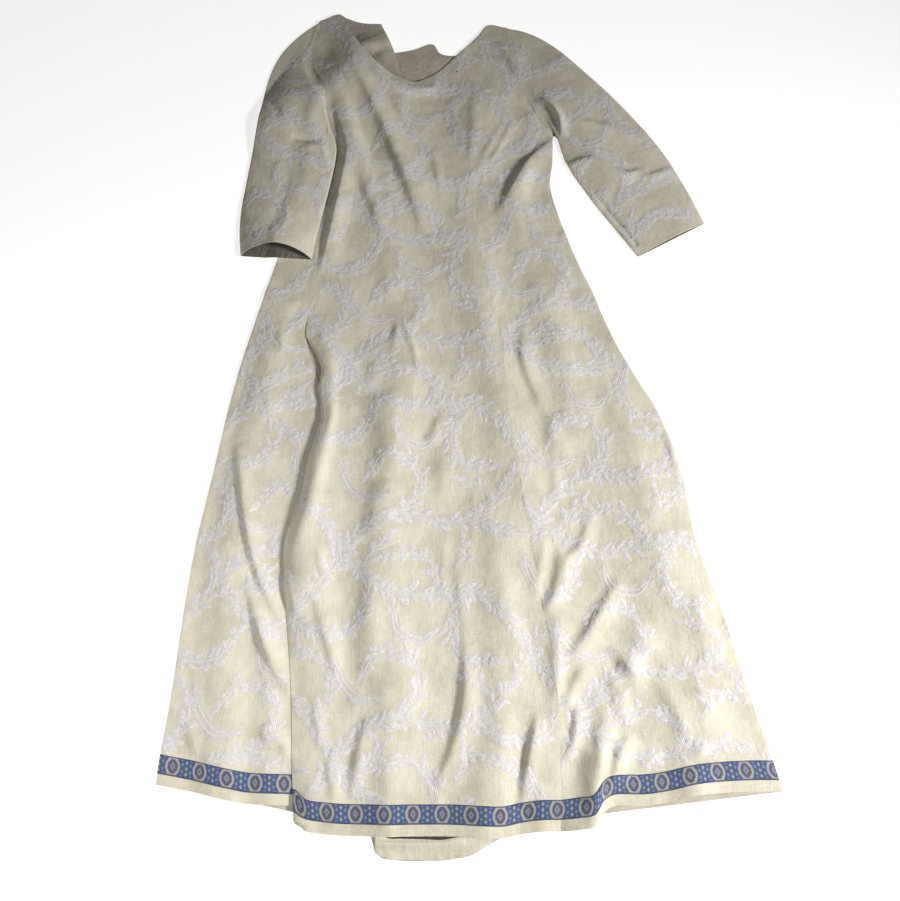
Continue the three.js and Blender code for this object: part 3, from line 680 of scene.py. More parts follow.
# Small pieces on the back: how crumpled and how thick they are, and the spacing of their points.
SMALL_PIECES = {
    "hem_turnup_back": dict(lift=0.5, thick=0.75, creases=TURNUP_CREASES, step=1.5),
    "placket_back": dict(lift=0.9, thick=0.9, creases=PLACKET_CREASES, step=3.0),
}
EDGE_WIDE, EDGE_DEEP = 4.0, 0.4       # how the cloth rounds off at its seams and edges
FOLD_WIDE, FOLD_DEEP = 6.0, 2.2       # and at the long fold left of the front, below FOLD_TOP
FOLD_TOP = (735, 800)
BACK_THICK = (0.55, 1.15)             # the back's skin where it lies flat, and over its ribbon
BACK_RAISED = (1.2, 2.3)              # heights of the back's upper face at those places
BACK_CRUMPLE = 0.12                   # how crumpled the back is, where the front is 1
THINNEST = 0.8                        # least share of a front skin's thickness, where it is squeezed
BACK_EDGE_DEEP, BACK_SETTLE = 0.4 / 3, 0.3   # how its edges round off, and the share its underside follows
SMALL_EDGE, SMALL_THINNEST = 2.5, 0.6 # how a small piece's edges round off, and its least thickness
HEM_BAND, HEM_GATHER, HEM_GATHER_DEEP = 12.0, (6.0, 30.0), 0.5   # the hem's gathers: band, size and depth
HEM_CALM = 41.0                       # the embroidery stops this far above the hem
CUFF_CALM = 13.0                      # and this far from a cuff
SEAM_LAP = 0.8                        # how far one panel laps over the next at a seam
SEAM_FAINT = 0.15                     # how deep the princess seams dip
ARMHOLE = {"sleeve_left": (1195, 1215), "sleeve_right": (1245, 1265)}   # a sleeve's cap is sewn on above this
ARMHOLE_LAP = 2.2                     # how much further the front laps over a sleeve there
CORNER = 10.0                         # radius of the hem's corner at that fold
TURN_RISE, TURN_WIDE = 9.0, 26.0      # how far the ribbon turns up at that corner, and over what width
TURN_FROM, TURN_TO = 32.0, 100.0      # heights above the hem where the turn is full, and where it has ended

layers = {}      # every skin that others may lie on: its points, and a tree of its upper face
scrolls_of = {}  # leaves and stems laid out on each panel


def keep(name, top, **more):
    layers[name] = dict(top=top, tree=tree_of(top), **more)


def trees_of(*names):
    return [layers[name]["tree"] for name in names]


def ribbon_of(node):
    """Name of the ribbon on a panel of the front."""
    return node.replace("front_side", "hem_ribbon").replace("front", "hem_ribbon")


def lay_out(node, row, grid, calm):
    """Lays the scrolls out on a panel, and gives how they pucker it."""
    flat = grid[..., :2].reshape(-1, 2)
    box = (flat.min(axis=0), flat.max(axis=0))
    leaves, stems = laid_scrolls(box, row["grain"], np.array(row["shift"], float), row["seed"])
    leaves, stems = clear_of_hem(grid[0, ::6], leaves, stems, calm)
    scrolls_of[node] = (leaves, stems)
    return Pucker(box, leaves, stems)


def with_corner(grid, corner):
    """A grid whose points near the front's left hem corner round it off, with the ribbon's end turned up."""
    in_x, in_y = grid[..., 0] - corner[0], grid[..., 1] - corner[1]
    cut = np.clip(1 - in_y / CORNER, 0, 1)
    moved = grid.copy()
    moved[..., 0] += CORNER * (1 - np.sqrt(1 - cut * cut)) * (1 - ease(0, 2 * CORNER, in_x))
    turned = (1 - ease(0, TURN_WIDE, in_x)) ** 2
    turned = turned * ease(0, TURN_FROM, in_y) * (1 - ease(TURN_FROM, TURN_TO, in_y))
    moved[..., 1] += TURN_RISE * turned
    return moved


# The long fold's edge is pulled in: heights above the hem, and how far to the right.
FOLD_PULL = [(420, 0), (455, 5), (490, 11), (550, 11), (590, 16), (630, 22), (660, 17), (682, 10), (700, 13),
             (717, 16), (745, 9), (775, 0)]
PULL_WIDE = 70.0


def pulled(grid):
    """A grid whose left edge follows the crooked edge of the long fold."""
    moved = grid.copy()
    heights, pulls = np.array(FOLD_PULL, float).T
    pull = np.interp(grid[..., 1], heights, pulls, left=0, right=0)
    moved[..., 0] += pull * (1 - ease(0, PULL_WIDE, edge_runs(grid)[0]))
    return moved


def puckered(grid):
    """The small upright gathers of a hem's turned-up edge, over its lowest HEM_BAND."""
    low = edge_runs(grid)[2]
    gather = noise(grid[..., 0] / HEM_GATHER[0], low / HEM_GATHER[1] + 4, 15)
    return HEM_GATHER_DEEP * gather * (1 - ease(HEM_BAND * 0.7, HEM_BAND, low))


def front_panel(node, row, below):
    coarse = grid_of(node)
    grid = finer(coarse, FINE)
    if node == "front_centre":
        grid = pulled(with_corner(grid, coarse[0, 0]))
        grid[:, -1, 0] += SEAM_LAP + ARMHOLE_LAP * ease(*ARMHOLE["sleeve_right"], grid[:, -1, 1])
        grid[:, 0, 0] -= (SEAM_LAP * ease(*FOLD_TOP, grid[:, 0, 1])
                          + ARMHOLE_LAP * ease(*ARMHOLE["sleeve_left"], grid[:, 0, 1]))
    left, right, low, high = edge_runs(grid)
    pucker = lay_out(node, row, grid, HEM_CALM)
    above_fold = ease(*FOLD_TOP, grid[..., 1])
    at_left, at_right = (rounded(edge, EDGE_WIDE, SEAM_FAINT) for edge in (left, right))
    if node == "front_centre":
        at_left = at_left * above_fold + rounded(left, FOLD_WIDE, FOLD_DEEP) * (1 - above_fold)
    if node == "front_side_left":
        at_left = rounded(left, EDGE_WIDE, EDGE_DEEP)
    if node == "front_side_right":
        at_right = rounded(right, EDGE_WIDE, EDGE_DEEP)
    ends = rounded(np.minimum(low, high), EDGE_WIDE, EDGE_DEEP)
    lift = creased(grid, row["creases"]) + crumple(grid) + pucker.lift(grid) + puckered(grid)
    top = grid.copy()
    top[..., 2] += lift - np.maximum(np.maximum(at_left, at_right), ends)
    bed = height_on(below, grid)
    if node == "front_centre":
        on_back = height_on(trees_of(*BACK_PANELS, *SMALL_PIECES), grid)
        bed = np.where(above_fold > 0, on_back, bed)
    under = top.copy()
    under[..., 2] = np.maximum(top[..., 2] - SKIN, bed + CLEAR)
    top[..., 2] = np.maximum(top[..., 2], under[..., 2] + SKIN * THINNEST)
    keep(node, top)
    return shell(node + "_cloth", top, under, grain_uv(grid, row["grain"]), pucker.worked(grid))


def back_panel(node, row):
    grid = finer(grid_of(node), COARSE)
    if node == "back_right":
        grid[:, 0] -= (SEAM_LAP, 0, SEAM_FAINT)
    thick = BACK_THICK[0] + (BACK_THICK[1] - BACK_THICK[0]) * ease(*BACK_RAISED, grid[..., 2])
    pucker = lay_out(node, row, grid, HEM_CALM)
    settle = rounded(np.minimum.reduce(edge_runs(grid)), EDGE_WIDE, BACK_EDGE_DEEP)
    top = grid.copy()
    top[..., 2] += creased(grid, row["creases"]) + crumple(grid, BACK_CRUMPLE) - settle
    under = top.copy()
    under[..., 2] -= thick - settle * BACK_SETTLE
    keep(node, top, under=under)
    return shell(node + "_cloth", top, under, grain_uv(grid, row["grain"]), pucker.worked(grid))


def small_piece(node, lift, thick, creases, step):
    """A skin for a small flat piece that lies on the back."""
    grid = finer(grid_of(node), step)
    top = grid.copy()
    top[..., 2] += crumple(grid, lift) + creased(grid, creases) + puckered(grid)
    top[..., 2] -= rounded(np.minimum.reduce(edge_runs(grid)), SMALL_EDGE, EDGE_DEEP)
    under = top.copy()
    under[..., 2] = np.maximum(top[..., 2] - thick, height_on(trees_of(*BACK_PANELS), grid) + CLEAR)
    top[..., 2] = np.maximum(top[..., 2], under[..., 2] + thick * SMALL_THINNEST)
    keep(node, top)
    return shell(node + "_cloth", top, under, grain_uv(grid, 0))


# ---- the ribbon ----

RIBBON_ROWS = (1, 3)        # rows of the panels' grids that the ribbon lies between
RIBBON_ACROSS = 10          # steps across the ribbon
RIBBON_EDGE, RIBBON_DEEP = 1.6, 0.3   # how its edges round off
RIB_DEEP, RIB_WIDE = 0.08, 2.1        # its fine ribs
# Where each ribbon's pattern starts. The right one runs on from the centre one.
RIBBON_PHASE = {"hem_ribbon_left": 0, "hem_ribbon_centre": 9, "hem_ribbon_back": 4}


def ribbon_strip(grid, step=3.0):
    """The ribbon's points on a panel, and its own coordinates: length along it, and share across it."""
    keys = knots(grid)
    strip = cubic(grid, keys, np.linspace(keys[RIBBON_ROWS[0]], keys[RIBBON_ROWS[1]], RIBBON_ACROSS + 1))
    across = strip.swapaxes(0, 1)
    keys = knots(across)
    strip = cubic(across, keys, np.linspace(0, keys[-1], round(keys[-1] / step) + 1)).swapaxes(0, 1)
    along_it = knots(strip.swapaxes(0, 1))
    share = np.linspace(0, 1, RIBBON_ACROSS + 1)
    return strip, np.stack(np.broadcast_arrays(along_it[None, :] * MM, share[:, None]), axis=-1)


def front_ribbon(name, node, row):
    coarse = grid_of(node)
    strip, uv = ribbon_strip(coarse)
    if node == "front_centre":
        strip = with_corner(strip, coarse[0, 0])
    top = strip.copy()
    top[..., 2] += creased(strip, row["creases"]) + crumple(strip)
    on_panel = height_on(trees_of(node), strip)
    on_panel = np.where(on_panel > 0, on_panel, top[..., 2] - EDGE_DEEP)
    under = top.copy()
    under[..., 2] = on_panel + CLEAR
    top[..., 2] = np.maximum(top[..., 2], on_panel) + RIBBON_LIFT
    low_high = np.minimum(*edge_runs(strip)[2:])
    ribs = RIB_DEEP * np.sin(uv[..., 0] / MM / RIB_WIDE)
    top[..., 2] -= rounded(low_high, RIBBON_EDGE, RIBBON_DEEP) + ribs
    start = layers["hem_ribbon_centre"]["end"] if name == "hem_ribbon_right" else RIBBON_PHASE[name] * MM
    keep(name, top, end=start + uv[0, -1, 0])
    return shell(name + "_woven", top, under, uv + (start, 0))


def back_ribbon(name):
    left, right = (grid_of(node) for node in BACK_PANELS)
    whole = np.concatenate([left[:5], right[:5, 1:]], axis=1)
    strip, uv = ribbon_strip(whole, 4.0)
    top, under = strip.copy(), strip.copy()
    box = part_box(name)
    top[..., 2] = box[1].z / MM
    under[..., 2] = box[0].z / MM + rounded(np.minimum(*edge_runs(strip)[2:]), RIBBON_EDGE, RIBBON_DEEP / 2)
    return shell(name + "_woven", top, under, uv + (RIBBON_PHASE[name] * MM, 0))


# ---- sleeves ----

SLEEVES = {
    "sleeve_left": dict(grain=-14, shift=(70, 40), seed=41),
    "sleeve_right": dict(grain=36, shift=(20, 150), seed=42),
}
SLEEVE_ROLL = 5.0                  # width over which a sleeve's folded edge rounds over
SLEEVE_CRUMPLE = 0.8
UNDER_ROOM = 0.5                   # room for the embroidery under a sleeve
ARMHOLE_WIDE = (8.0, 34.0)         # over this distance from its cap a sleeve comes down to the body's height,
ARMHOLE_STEP = 3.0                 # taken this far inside the body
ROLL_STEPS = (0, 0.4, 1.1, 2.2, 3.6)   # distances of extra columns from that edge


def with_roll_columns(grid):
    """A grid with extra columns close to both of its sides."""
    grid = grid.swapaxes(0, 1)
    keys = knots(grid)
    inside = np.linspace(SLEEVE_ROLL + 1, keys[-1] - SLEEVE_ROLL - 1, round(keys[-1] / FINE))
    at = np.concatenate([ROLL_STEPS, inside, keys[-1] - np.array(ROLL_STEPS[::-1])])
    return cubic(grid, keys, at).swapaxes(0, 1)


def sleeve(node, row, below):
    both = np.concatenate([grid_of(node), grid_of(node, highest=False)], axis=2)
    keys = knots(both)
    both = with_roll_columns(cubic(both, keys, np.linspace(0, keys[-1], round(keys[-1] / FINE) + 1)))
    upper, lower = both[..., :3], both[..., 3:]
    left, right = edge_runs(upper)[:2]
    pucker = lay_out(node, row, upper, CUFF_CALM)
    upper[..., 2] += creased(upper, SLEEVE_CREASES) + crumple(upper, SLEEVE_CRUMPLE) + pucker.lift(upper)
    bed = height_on(below, upper)
    lower[..., 2] = np.maximum(np.maximum(lower[..., 2], UNDER_ROOM), bed + (CLEAR if below else 0))
    inner, high = (right if node == "sleeve_left" else left), edge_runs(upper)[3]
    seam = upper[-1, :, :2] + ARMHOLE_STEP * unit(upper[-1, :, :2] - upper[-2, :, :2])
    body = height_on(trees_of(*FRONT_PANELS), seam)
    sewn = (ease(*ARMHOLE[node], seam[:, 1]) * (body > 0)) * (1 - ease(*ARMHOLE_WIDE, high))
    upper[..., 2] += (body - upper[..., 2]) * sewn
    upper[..., 2] = np.maximum(upper[..., 2], lower[..., 2] + 2 * SKIN + CLEAR)
    lapped = sewn * (high < ARMHOLE_WIDE[0])
    upper[..., 2] += (body - SEAM_FAINT - upper[..., 2]) * lapped
    lower[..., 2] = np.minimum(lower[..., 2], upper[..., 2] - 2 * SKIN)
    nearer = np.minimum(left, right)
    share = (1 - np.clip(nearer / SLEEVE_ROLL, 0, 1)) * (1 - sewn * (inner == nearer))
    full = np.sqrt(1 - share ** 2)
    middle = (upper[..., 2] + lower[..., 2]) / 2
    middle = np.where(left < right, middle[:, :1], middle[:, -1:])
    upper[..., 2] = middle + (upper[..., 2] - middle) * full
    least = np.minimum(bed, upper[..., 2] - 2 * SKIN)
    lower[..., 2] = np.maximum(middle + (lower[..., 2] - middle) * full, least)
    sides = upper[:, :1] - upper[:, 3:4], upper[:, -1:] - upper[:, -4:-3]
    outward = np.where((left < right)[..., None], *sides)
    outward[..., 2] = 0
    inset = unit(outward) * share[..., None]
    upright = np.stack([0 * full, 0 * full, full], axis=2)
    ring = lambda a, b: np.concatenate([a, b[:, -2:0:-1]], axis=1)
    outside = ring(upper, lower)
    inside = ring(upper - SKIN * (inset + upright), lower - SKIN * (inset - upright))
    keep(node, upper, under=lower)
    uv, worked = grain_uv(outside, row["grain"]), pucker.worked(outside)
    return shell(node + "_cloth", outside, inside, uv, worked, wraps=True)


# ---- making the cloth ----

cloth = {node: back_panel(node, row) for node, row in BACK_PANELS.items()}
cloth.update((node, small_piece(node, **row)) for node, row in SMALL_PIECES.items())
beneath = trees_of(*BACK_PANELS, *SMALL_PIECES)
for node, row in FRONT_PANELS.items():
    cloth[node] = front_panel(node, row, beneath)
    cloth[ribbon_of(node)] = front_ribbon(ribbon_of(node), node, row)
    if node == "front_side_left":
        beneath += trees_of(node, ribbon_of(node))
cloth["hem_ribbon_back"] = back_ribbon("hem_ribbon_back")
cloth["sleeve_left"] = sleeve("sleeve_left", SLEEVES["sleeve_left"], trees_of(*BACK_PANELS, *FRONT_PANELS))
cloth["sleeve_right"] = sleeve("sleeve_right", SLEEVES["sleeve_right"], [])


# ---- embroidery, as threads standing on the cloth ----

LEAF_RISE, STEM_RISE, THREAD_SINK = 0.3, 0.26, 0.1
LEAF_STATIONS = np.array([0, 0.1, 0.32, 0.6, 0.84, 1])   # sections along a leaf
LEAF_SHARES = (1, 0.55, 0, -0.55, -1)                    # points across it, as shares of its half width
LEAF_HEIGHTS = (0, 1, 0.4, 1, 0)                         # their heights, as shares of its rise
LEAF_BULGE, LEAF_POINT = 0.85, 0.75                      # how near its stem it is widest, and how blunt it is
LEAF_PADDING = (0.8, 1.2)                                # how much higher or lower the padding may be
STEM_SHARES, STEM_HEIGHTS = (1, 0.45, -0.45, -1), (0, 1, 1, 0)   # the same across a stem
UNDER_SHARE = 0.45       # the underside's embroidery is pressed this much flatter


class Surface:
    """What lies on top over the whole dress, or below it: which piece each point meets, and how high."""

    def __init__(self, grids, way):
        points, faces, self.owner = [], [], []
        for name, grid in grids.items():
            rows, columns, _ = grid.shape
            quads = quads_of(rows, columns) + sum(len(p) for p in points)
            points.append(grid.reshape(-1, 3))
            faces += quads.tolist()
            self.owner += [name] * len(quads)
        self.tree = BVHTree.FromPolygons(np.concatenate(points).tolist(), faces)
        self.way = way

    def meets(self, name, xy):
        """Height of piece `name` at each point, or None where something else lies outside it."""
        heights = []
        for x, y in np.asarray(xy).tolist():
            hit, _, face, _ = self.tree.ray_cast(Vector((x, y, SKY * self.way)), (0, 0, -self.way))
            if hit is None or self.owner[face] != name:
                return None
            heights.append(hit.z)
        return np.array(heights)


def leaf_faces():
    """Faces of a leaf: two padded halves along a low vein, closed beneath by two more."""
    rows, across = len(LEAF_STATIONS) - 2, len(LEAF_SHARES)
    last, tip = rows - 1, 1 + rows * across
    at = lambda row, column: 1 + row * across + column
    low = lambda row: tip + 1 + row
    faces = [(0, at(0, c + 1), at(0, c)) for c in range(across - 1)]
    faces += [(at(r, c), at(r, c + 1), at(r + 1, c + 1), at(r + 1, c))
              for r in range(last) for c in range(across - 1)]
    faces += [(at(last, c), at(last, c + 1), tip) for c in range(across - 1)]
    for column, way in ((0, 1), (across - 1, -1)):
        beneath = [(0, at(0, column), low(0)), (at(last, column), tip, low(last))]
        beneath += [(at(r, column), at(r + 1, column), low(r + 1), low(r)) for r in range(last)]
        faces += [face[::way] for face in beneath]
    return faces


LEAF_FACES = {1: leaf_faces(), -1: [face[::-1] for face in leaf_faces()]}   # for the top, and the underside


def leaf_mesh(surface, name, leaf, rise, rng):
    """Points and faces of one leaf, where all of it lies on the piece: its stem end, its sections, its tip
    and the points beneath its vein."""
    x, y, direction, long, wide = leaf
    half = wide / 2 * np.sin(np.pi * LEAF_STATIONS ** LEAF_BULGE) ** LEAF_POINT
    inner = LEAF_STATIONS[1:-1]
    plan = [(0, 0)] + [(t * long, share * h) for t, h in zip(inner, half[1:-1]) for share in LEAF_SHARES]
    plan = np.array(plan + [(long, 0)] + [(t * long, 0) for t in inner])
    plan = plan @ np.array([[math.cos(direction), math.sin(direction)],
                            [-math.sin(direction), math.cos(direction)]]) + (x, y)
    heights = surface.meets(name, plan)
    if heights is None:
        return None
    lift = np.full(len(plan), -THREAD_SINK)
    padded = np.array(LEAF_HEIGHTS) * rise * rng.uniform(*LEAF_PADDING, (len(inner), len(LEAF_SHARES)))
    padded[:, np.array(LEAF_HEIGHTS) == 0] = -THREAD_SINK
    lift[1:1 + padded.size] = padded.ravel()
    return np.column_stack([plan, heights + lift * surface.way]), LEAF_FACES[surface.way]


def stem_runs(surface, name, points, wide, rise):
    """Closed flat-topped strips along the stretches of a stem that lie on the piece."""
    ahead = unit(np.gradient(points, axis=0))
    side = np.stack([-ahead[:, 1], ahead[:, 0]], axis=1) * wide / 2
    lift = np.where(np.array(STEM_HEIGHTS) > 0, np.array(STEM_HEIGHTS) * rise, -THREAD_SINK) * surface.way
    across = len(STEM_SHARES)
    run = []
    for k in range(len(points) + 1):
        plan = heights = None
        if k < len(points):
            plan = points[k] + np.outer(STEM_SHARES, side[k])
            heights = surface.meets(name, plan)
        if heights is not None:
            run.append(np.column_stack([plan, heights + lift]))
            continue
        if len(run) > 2:
            faces = [(r * across + c, r * across + (c + 1) % across, (r + 1) * across + (c + 1) % across,
                      (r + 1) * across + c) for r in range(len(run) - 1) for c in range(across)]
            last = (len(run) - 1) * across
            faces += [tuple(range(across - 1, -1, -1)), tuple(range(last, last + across))]
            if surface.way > 0:
                faces = [face[::-1] for face in faces]
            yield np.concatenate(run), faces
        run = []


def joined(name, parts):
    """One object from many small closed meshes."""
    points, faces, start = [], [], 0
    for some_points, some_faces in parts:
        points.append(some_points)
        faces += [tuple(v + start for v in face) for face in some_faces]
        start += len(some_points)
    return mesh_object(name, np.concatenate(points), faces)


def embroidery(node, surface, seed, press=1.0):
    rng = np.random.default_rng(seed)
    leaves, stems = scrolls_of[node]
    parts = [leaf_mesh(surface, node, leaf, LEAF_RISE * press, rng) for leaf in leaves]
    parts = [part for part in parts if part is not None]
    for points, wide in stems:
        parts += stem_runs(surface, node, points, wide, STEM_RISE * press)
    return joined(node + ("_embroidery" if surface.way > 0 else "_embroidery_under"), parts)


above = Surface({name: layer["top"] for name, layer in layers.items()}, 1)
beneath_all = Surface({name: layer["under"] for name, layer in layers.items() if "under" in layer}, -1)
threads = {}
for k, node in enumerate((*FRONT_PANELS, *SLEEVES)):
    threads[node] = embroidery(node, above, 50 + k)
for k, node in enumerate((*BACK_PANELS, *SLEEVES)):
    threads[node + "_under"] = embroidery(node, beneath_all, 60 + k, UNDER_SHARE)


# ---- stitches ----

STITCH, STITCH_STEP, STITCH_THICK = 3.0, 4.4, 0.55
STITCH_RINGS = ((0.2, 0.8), (0.5, 1.0), (0.8, 0.8))   # places along a stitch, and how thick it is there


def stitch_row(surface, owner, line):
    """Small raised stitches, one after another along a line on top of a piece."""
    line = np.asarray(line)[:, :2]
    steps = np.concatenate([[0], np.cumsum(np.linalg.norm(np.diff(line, axis=0), axis=1))])
    for at in np.arange(STITCH_STEP / 2, steps[-1] - STITCH_STEP / 2, STITCH_STEP):
        ends = np.array([[np.interp(at + d, steps, line[:, k]) for k in (0, 1)]
                         for d in (-STITCH / 2, STITCH / 2)])
        heights = surface.meets(owner, ends)
        if heights is None:
            continue
        a, b = np.column_stack([ends, heights])
        way = unit(b - a)
        side = np.array([-way[1], way[0], 0]) * STITCH_THICK / 2
        up = np.array([0, 0, STITCH_THICK / 2])
        points = [a]
        for share, swell in STITCH_RINGS:
            middle = a + (b - a) * share + up * 0.5
            points += [middle + side * swell, middle + up * swell, middle - side * swell, middle - up * swell]
        points.append(b)
        faces = []
        for k in range(4):
            n = (k + 1) % 4
            faces.append((0, 1 + n, 1 + k))
            for ring in (1, 5):
                faces.append((ring + k, ring + n, ring + 4 + n, ring + 4 + k))
            faces.append((9 + k, 9 + n, 13))
        yield np.array(points), faces


# Distances of the rows from their edges.
HEM_STITCH, NECK_STITCH, CUFF_STITCH, RIBBON_STITCH, TURNUP_STITCH = 9.0, 12.5, 12.0, 1.5, 6.0
NECK_ENDS = (36, 34)       # lengths along the top of the front that are shoulder seams, not neck


def offset_line(line, by):
    """A line in plan moved sideways, to its right."""
    ahead = unit(np.gradient(line[:, :2], axis=0))
    return line[:, :2] + by * np.stack([ahead[:, 1], -ahead[:, 0]], axis=1)


hem_rows, ribbon_rows = [], []
for node in FRONT_PANELS:
    grid = grid_of(node)
    keys = knots(grid)
    hem_rows += stitch_row(above, node, row_at(grid, HEM_STITCH))
    for at in (keys[RIBBON_ROWS[0]] + RIBBON_STITCH, keys[RIBBON_ROWS[1]] - RIBBON_STITCH):
        ribbon_rows += stitch_row(above, ribbon_of(node), row_at(grid, at))
neck = layers["front_centre"]["top"][-1]
neck_keys = knots(neck[:, None])
neck = neck[(neck_keys > NECK_ENDS[0]) & (neck_keys < neck_keys[-1] - NECK_ENDS[1])]
neck_rows = list(stitch_row(above, "front_centre", offset_line(neck, NECK_STITCH)))
for node in SLEEVES:
    neck_rows += stitch_row(above, node, row_at(layers[node]["top"], CUFF_STITCH)[4:-4])
hem_rows += stitch_row(above, "hem_turnup_back", row_at(layers["hem_turnup_back"]["top"], TURNUP_STITCH))
stitches = {
    "hem_stitches": joined("hem_stitches", hem_rows),
    "edge_stitches": joined("edge_stitches", neck_rows),
    "ribbon_stitches": joined("ribbon_stitches", ribbon_rows),
}


# ---- materials ----

def colour(red, green, blue):
    """A colour given as it looks on a screen, from 0 to 255, in linear light."""
    linear = lambda c: c / 12.92 if c <= 0.04045 else ((c + 0.055) / 1.055) ** 2.4
    return (*(linear(c / 255) for c in (red, green, blue)), 1)


CREAM, CREAM_DEEP, CREAM_PALE = colour(222, 216, 195), colour(204, 197, 175), colour(233, 229, 213)
INSIDE, INSIDE_DEEP, INSIDE_PALE = colour(204, 195, 177), colour(182, 172, 156), colour(214, 208, 198)
# Painted shade: these darker linen colours stand for the shade inside the sleeves, and also serve the gap
# under the front hem.
PAINTED_SHADE_LINEN, PAINTED_SHADE_LINEN_DEEP = colour(118, 110, 101), colour(94, 87, 79)
# Painted shade: the turned-up back hem is coloured this dark where it lies in the open gap under the front
# hem.
PAINTED_GAP_SHADE, PAINTED_GAP_SHADE_DEEP = colour(78, 72, 64), colour(60, 55, 49)
LILAC, LILAC_DEEP, LILAC_GREY = colour(225, 219, 217), colour(209, 204, 204), colour(212, 206, 203)
BLUE, BLUE_DEEP, BLUE_PALE = colour(90, 110, 150), colour(66, 76, 106), colour(130, 146, 178)
NIGHT, NIGHT_PALE, SILVER = colour(78, 78, 98), colour(108, 108, 124), colour(170, 172, 188)
BEIGE, BEIGE_DEEP = colour(196, 189, 176), colour(154, 151, 152)
BEIGE_GREY, EDGE_GREY, TEAL_GREY = colour(176, 172, 165), colour(92, 92, 114), colour(84, 104, 132)
STAIN = colour(84, 66, 50)
STAIN_AT = (13, 1311)           # a small dark spot by the neckline, in garment millimetres
STAIN_RADIUS = 2.6
METRE = 1000
WEAVE = 0.9                     # width of a thread of the linen
SLUB = (620, 38)                # slubs for each metre, across a thread and along it
SHEEN_ROUGHNESS, SPECULAR = 0.5, 0.25


class Value:
    """A number that a material works out at each place. Signs and abs() add the nodes of a sum."""

    def __init__(self, shader, socket):
        self.shader, self.socket = shader, socket

    def math(self, operation, *others):
        made = self.shader.node("Math", enumerate((self, *others)), operation=operation)
        return Value(self.shader, made.outputs[0])

    __add__ = lambda self, other: self.math("ADD", other)
    __sub__ = lambda self, other: self.math("SUBTRACT", other)
    __mul__ = lambda self, other: self.math("MULTIPLY", other)
    __truediv__ = lambda self, other: self.math("DIVIDE", other)
    __abs__ = lambda self: self.math("ABSOLUTE")

    def band(self, low, high):
        """0 below `low`, 1 above `high`, smooth between."""
        ends = {"Value": self, "From Min": low, "From Max": high}
        made = self.shader.node("MapRange", ends, interpolation_type="SMOOTHSTEP")
        return Value(self.shader, made.outputs[0])


class Shader:
    """A procedural material under construction. A socket takes a number, a colour, a Value or an output."""

    def __init__(self, name, roughness, sheen):
        self.material = bpy.data.materials.new(name)
        self.material.use_nodes = True
        self.tree = self.material.node_tree
        self.surface = next(n for n in self.tree.nodes if n.type == "BSDF_PRINCIPLED")
        fixed = {"Roughness": roughness, "Sheen Weight": sheen, "Sheen Roughness": SHEEN_ROUGHNESS,
                 "Specular IOR Level": SPECULAR}
        for key, value in fixed.items():
            self.surface.inputs[key].default_value = value

    def put(self, socket, value):
        value = getattr(value, "socket", value)
        if isinstance(value, bpy.types.NodeSocket):
            self.tree.links.new(value, socket)
        else:
            socket.default_value = value

    def node(self, kind, sockets=(), **settings):
        made = self.tree.nodes.new("ShaderNode" + kind)
        for key, value in settings.items():
            setattr(made, key, value)
        for key, value in dict(sockets).items():
            self.put(made.inputs[key], value)
        return made

    def parts(self, vector):
        """The x and the y of a vector."""
        made = self.node("SeparateXYZ", {0: vector})
        return [Value(self, made.outputs[k]) for k in (0, 1)]

    def scaled(self, vector, x, y):
        return self.node("VectorMath", {0: vector, 1: (x, y, 1.0)}, operation="MULTIPLY").outputs[0]

    def noise(self, vector, scale, detail=2.0, roughness=0.5):
        sockets = {"Vector": vector, "Scale": scale, "Detail": detail, "Roughness": roughness}
        made = self.node("TexNoise", sockets)
        return Value(self, made.outputs["Fac"])

    def laid(self, base, *layers):
        """A colour with others laid over it, one after another, each by its share."""
        for share, over in layers:
            base = self.node("Mix", {0: share, 6: base, 7: over}, data_type="RGBA").outputs[2]
        return base

    def finish(self, base, height, distance):
        self.put(self.surface.inputs["Base Color"], base)
        bump = self.node("Bump", {"Height": height, "Distance": distance, "Strength": 1.0})
        self.put(self.surface.inputs["Normal"], bump.outputs[0])
        return self.material


def woven(shader, uv, pitch):
    """Height of a plain weave, its threads over and under each other."""
    x, y = ((part * (math.pi * METRE / pitch)).math("SINE") for part in shader.parts(uv))
    return (x * y).math("MULTIPLY_ADD", 0.5, 0.5)


def linen(name, main, deep, pale, tint=0.8, stained=False):
    """Slubbed, mottled linen, tinted and crushed where it is worked with embroidery."""
    shader = Shader(name, 0.92, 0.12)
    uv = shader.node("UVMap", uv_map="cloth").outputs[0]
    down, across = (shader.noise(shader.scaled(uv, *scale), 1.0, 3.0, 0.6) for scale in (SLUB, SLUB[::-1]))
    slub, weave = down * 0.6 + across * 0.4, woven(shader, uv, WEAVE)
    worked = Value(shader, shader.node("Attribute", attribute_name="worked").outputs["Fac"])
    base = shader.laid(
        main, (shader.noise(uv, 17, 3.0, 0.55).band(0.35, 0.7), deep),
        (slub.band(0.5, 0.64) * 0.55, pale),
        (slub.band(0.49, 0.36) * 0.5, deep),
        (weave * 0.1, deep),
        (worked * shader.noise(uv, 150).band(0.42, 0.6) * tint, LILAC_GREY))
    if stained:
        spot = (np.array([*STAIN_AT, 0]) + HEM_MIDDLE) * MM
        x, y = (part - at for part, at in zip(shader.parts(shader.node("TexCoord").outputs["Object"]), spot))
        away = (x * x + y * y).math("SQRT")
        base = shader.laid(base, (away.band(STAIN_RADIUS * MM, STAIN_RADIUS * MM * 0.5), STAIN))
    crush = shader.noise(uv, 75, 4.0, 0.6) * worked.math("MULTIPLY_ADD", 0.5, 0.8)
    return shader.finish(base, crush + (slub * 0.35 + weave * 0.05), 0.0014)


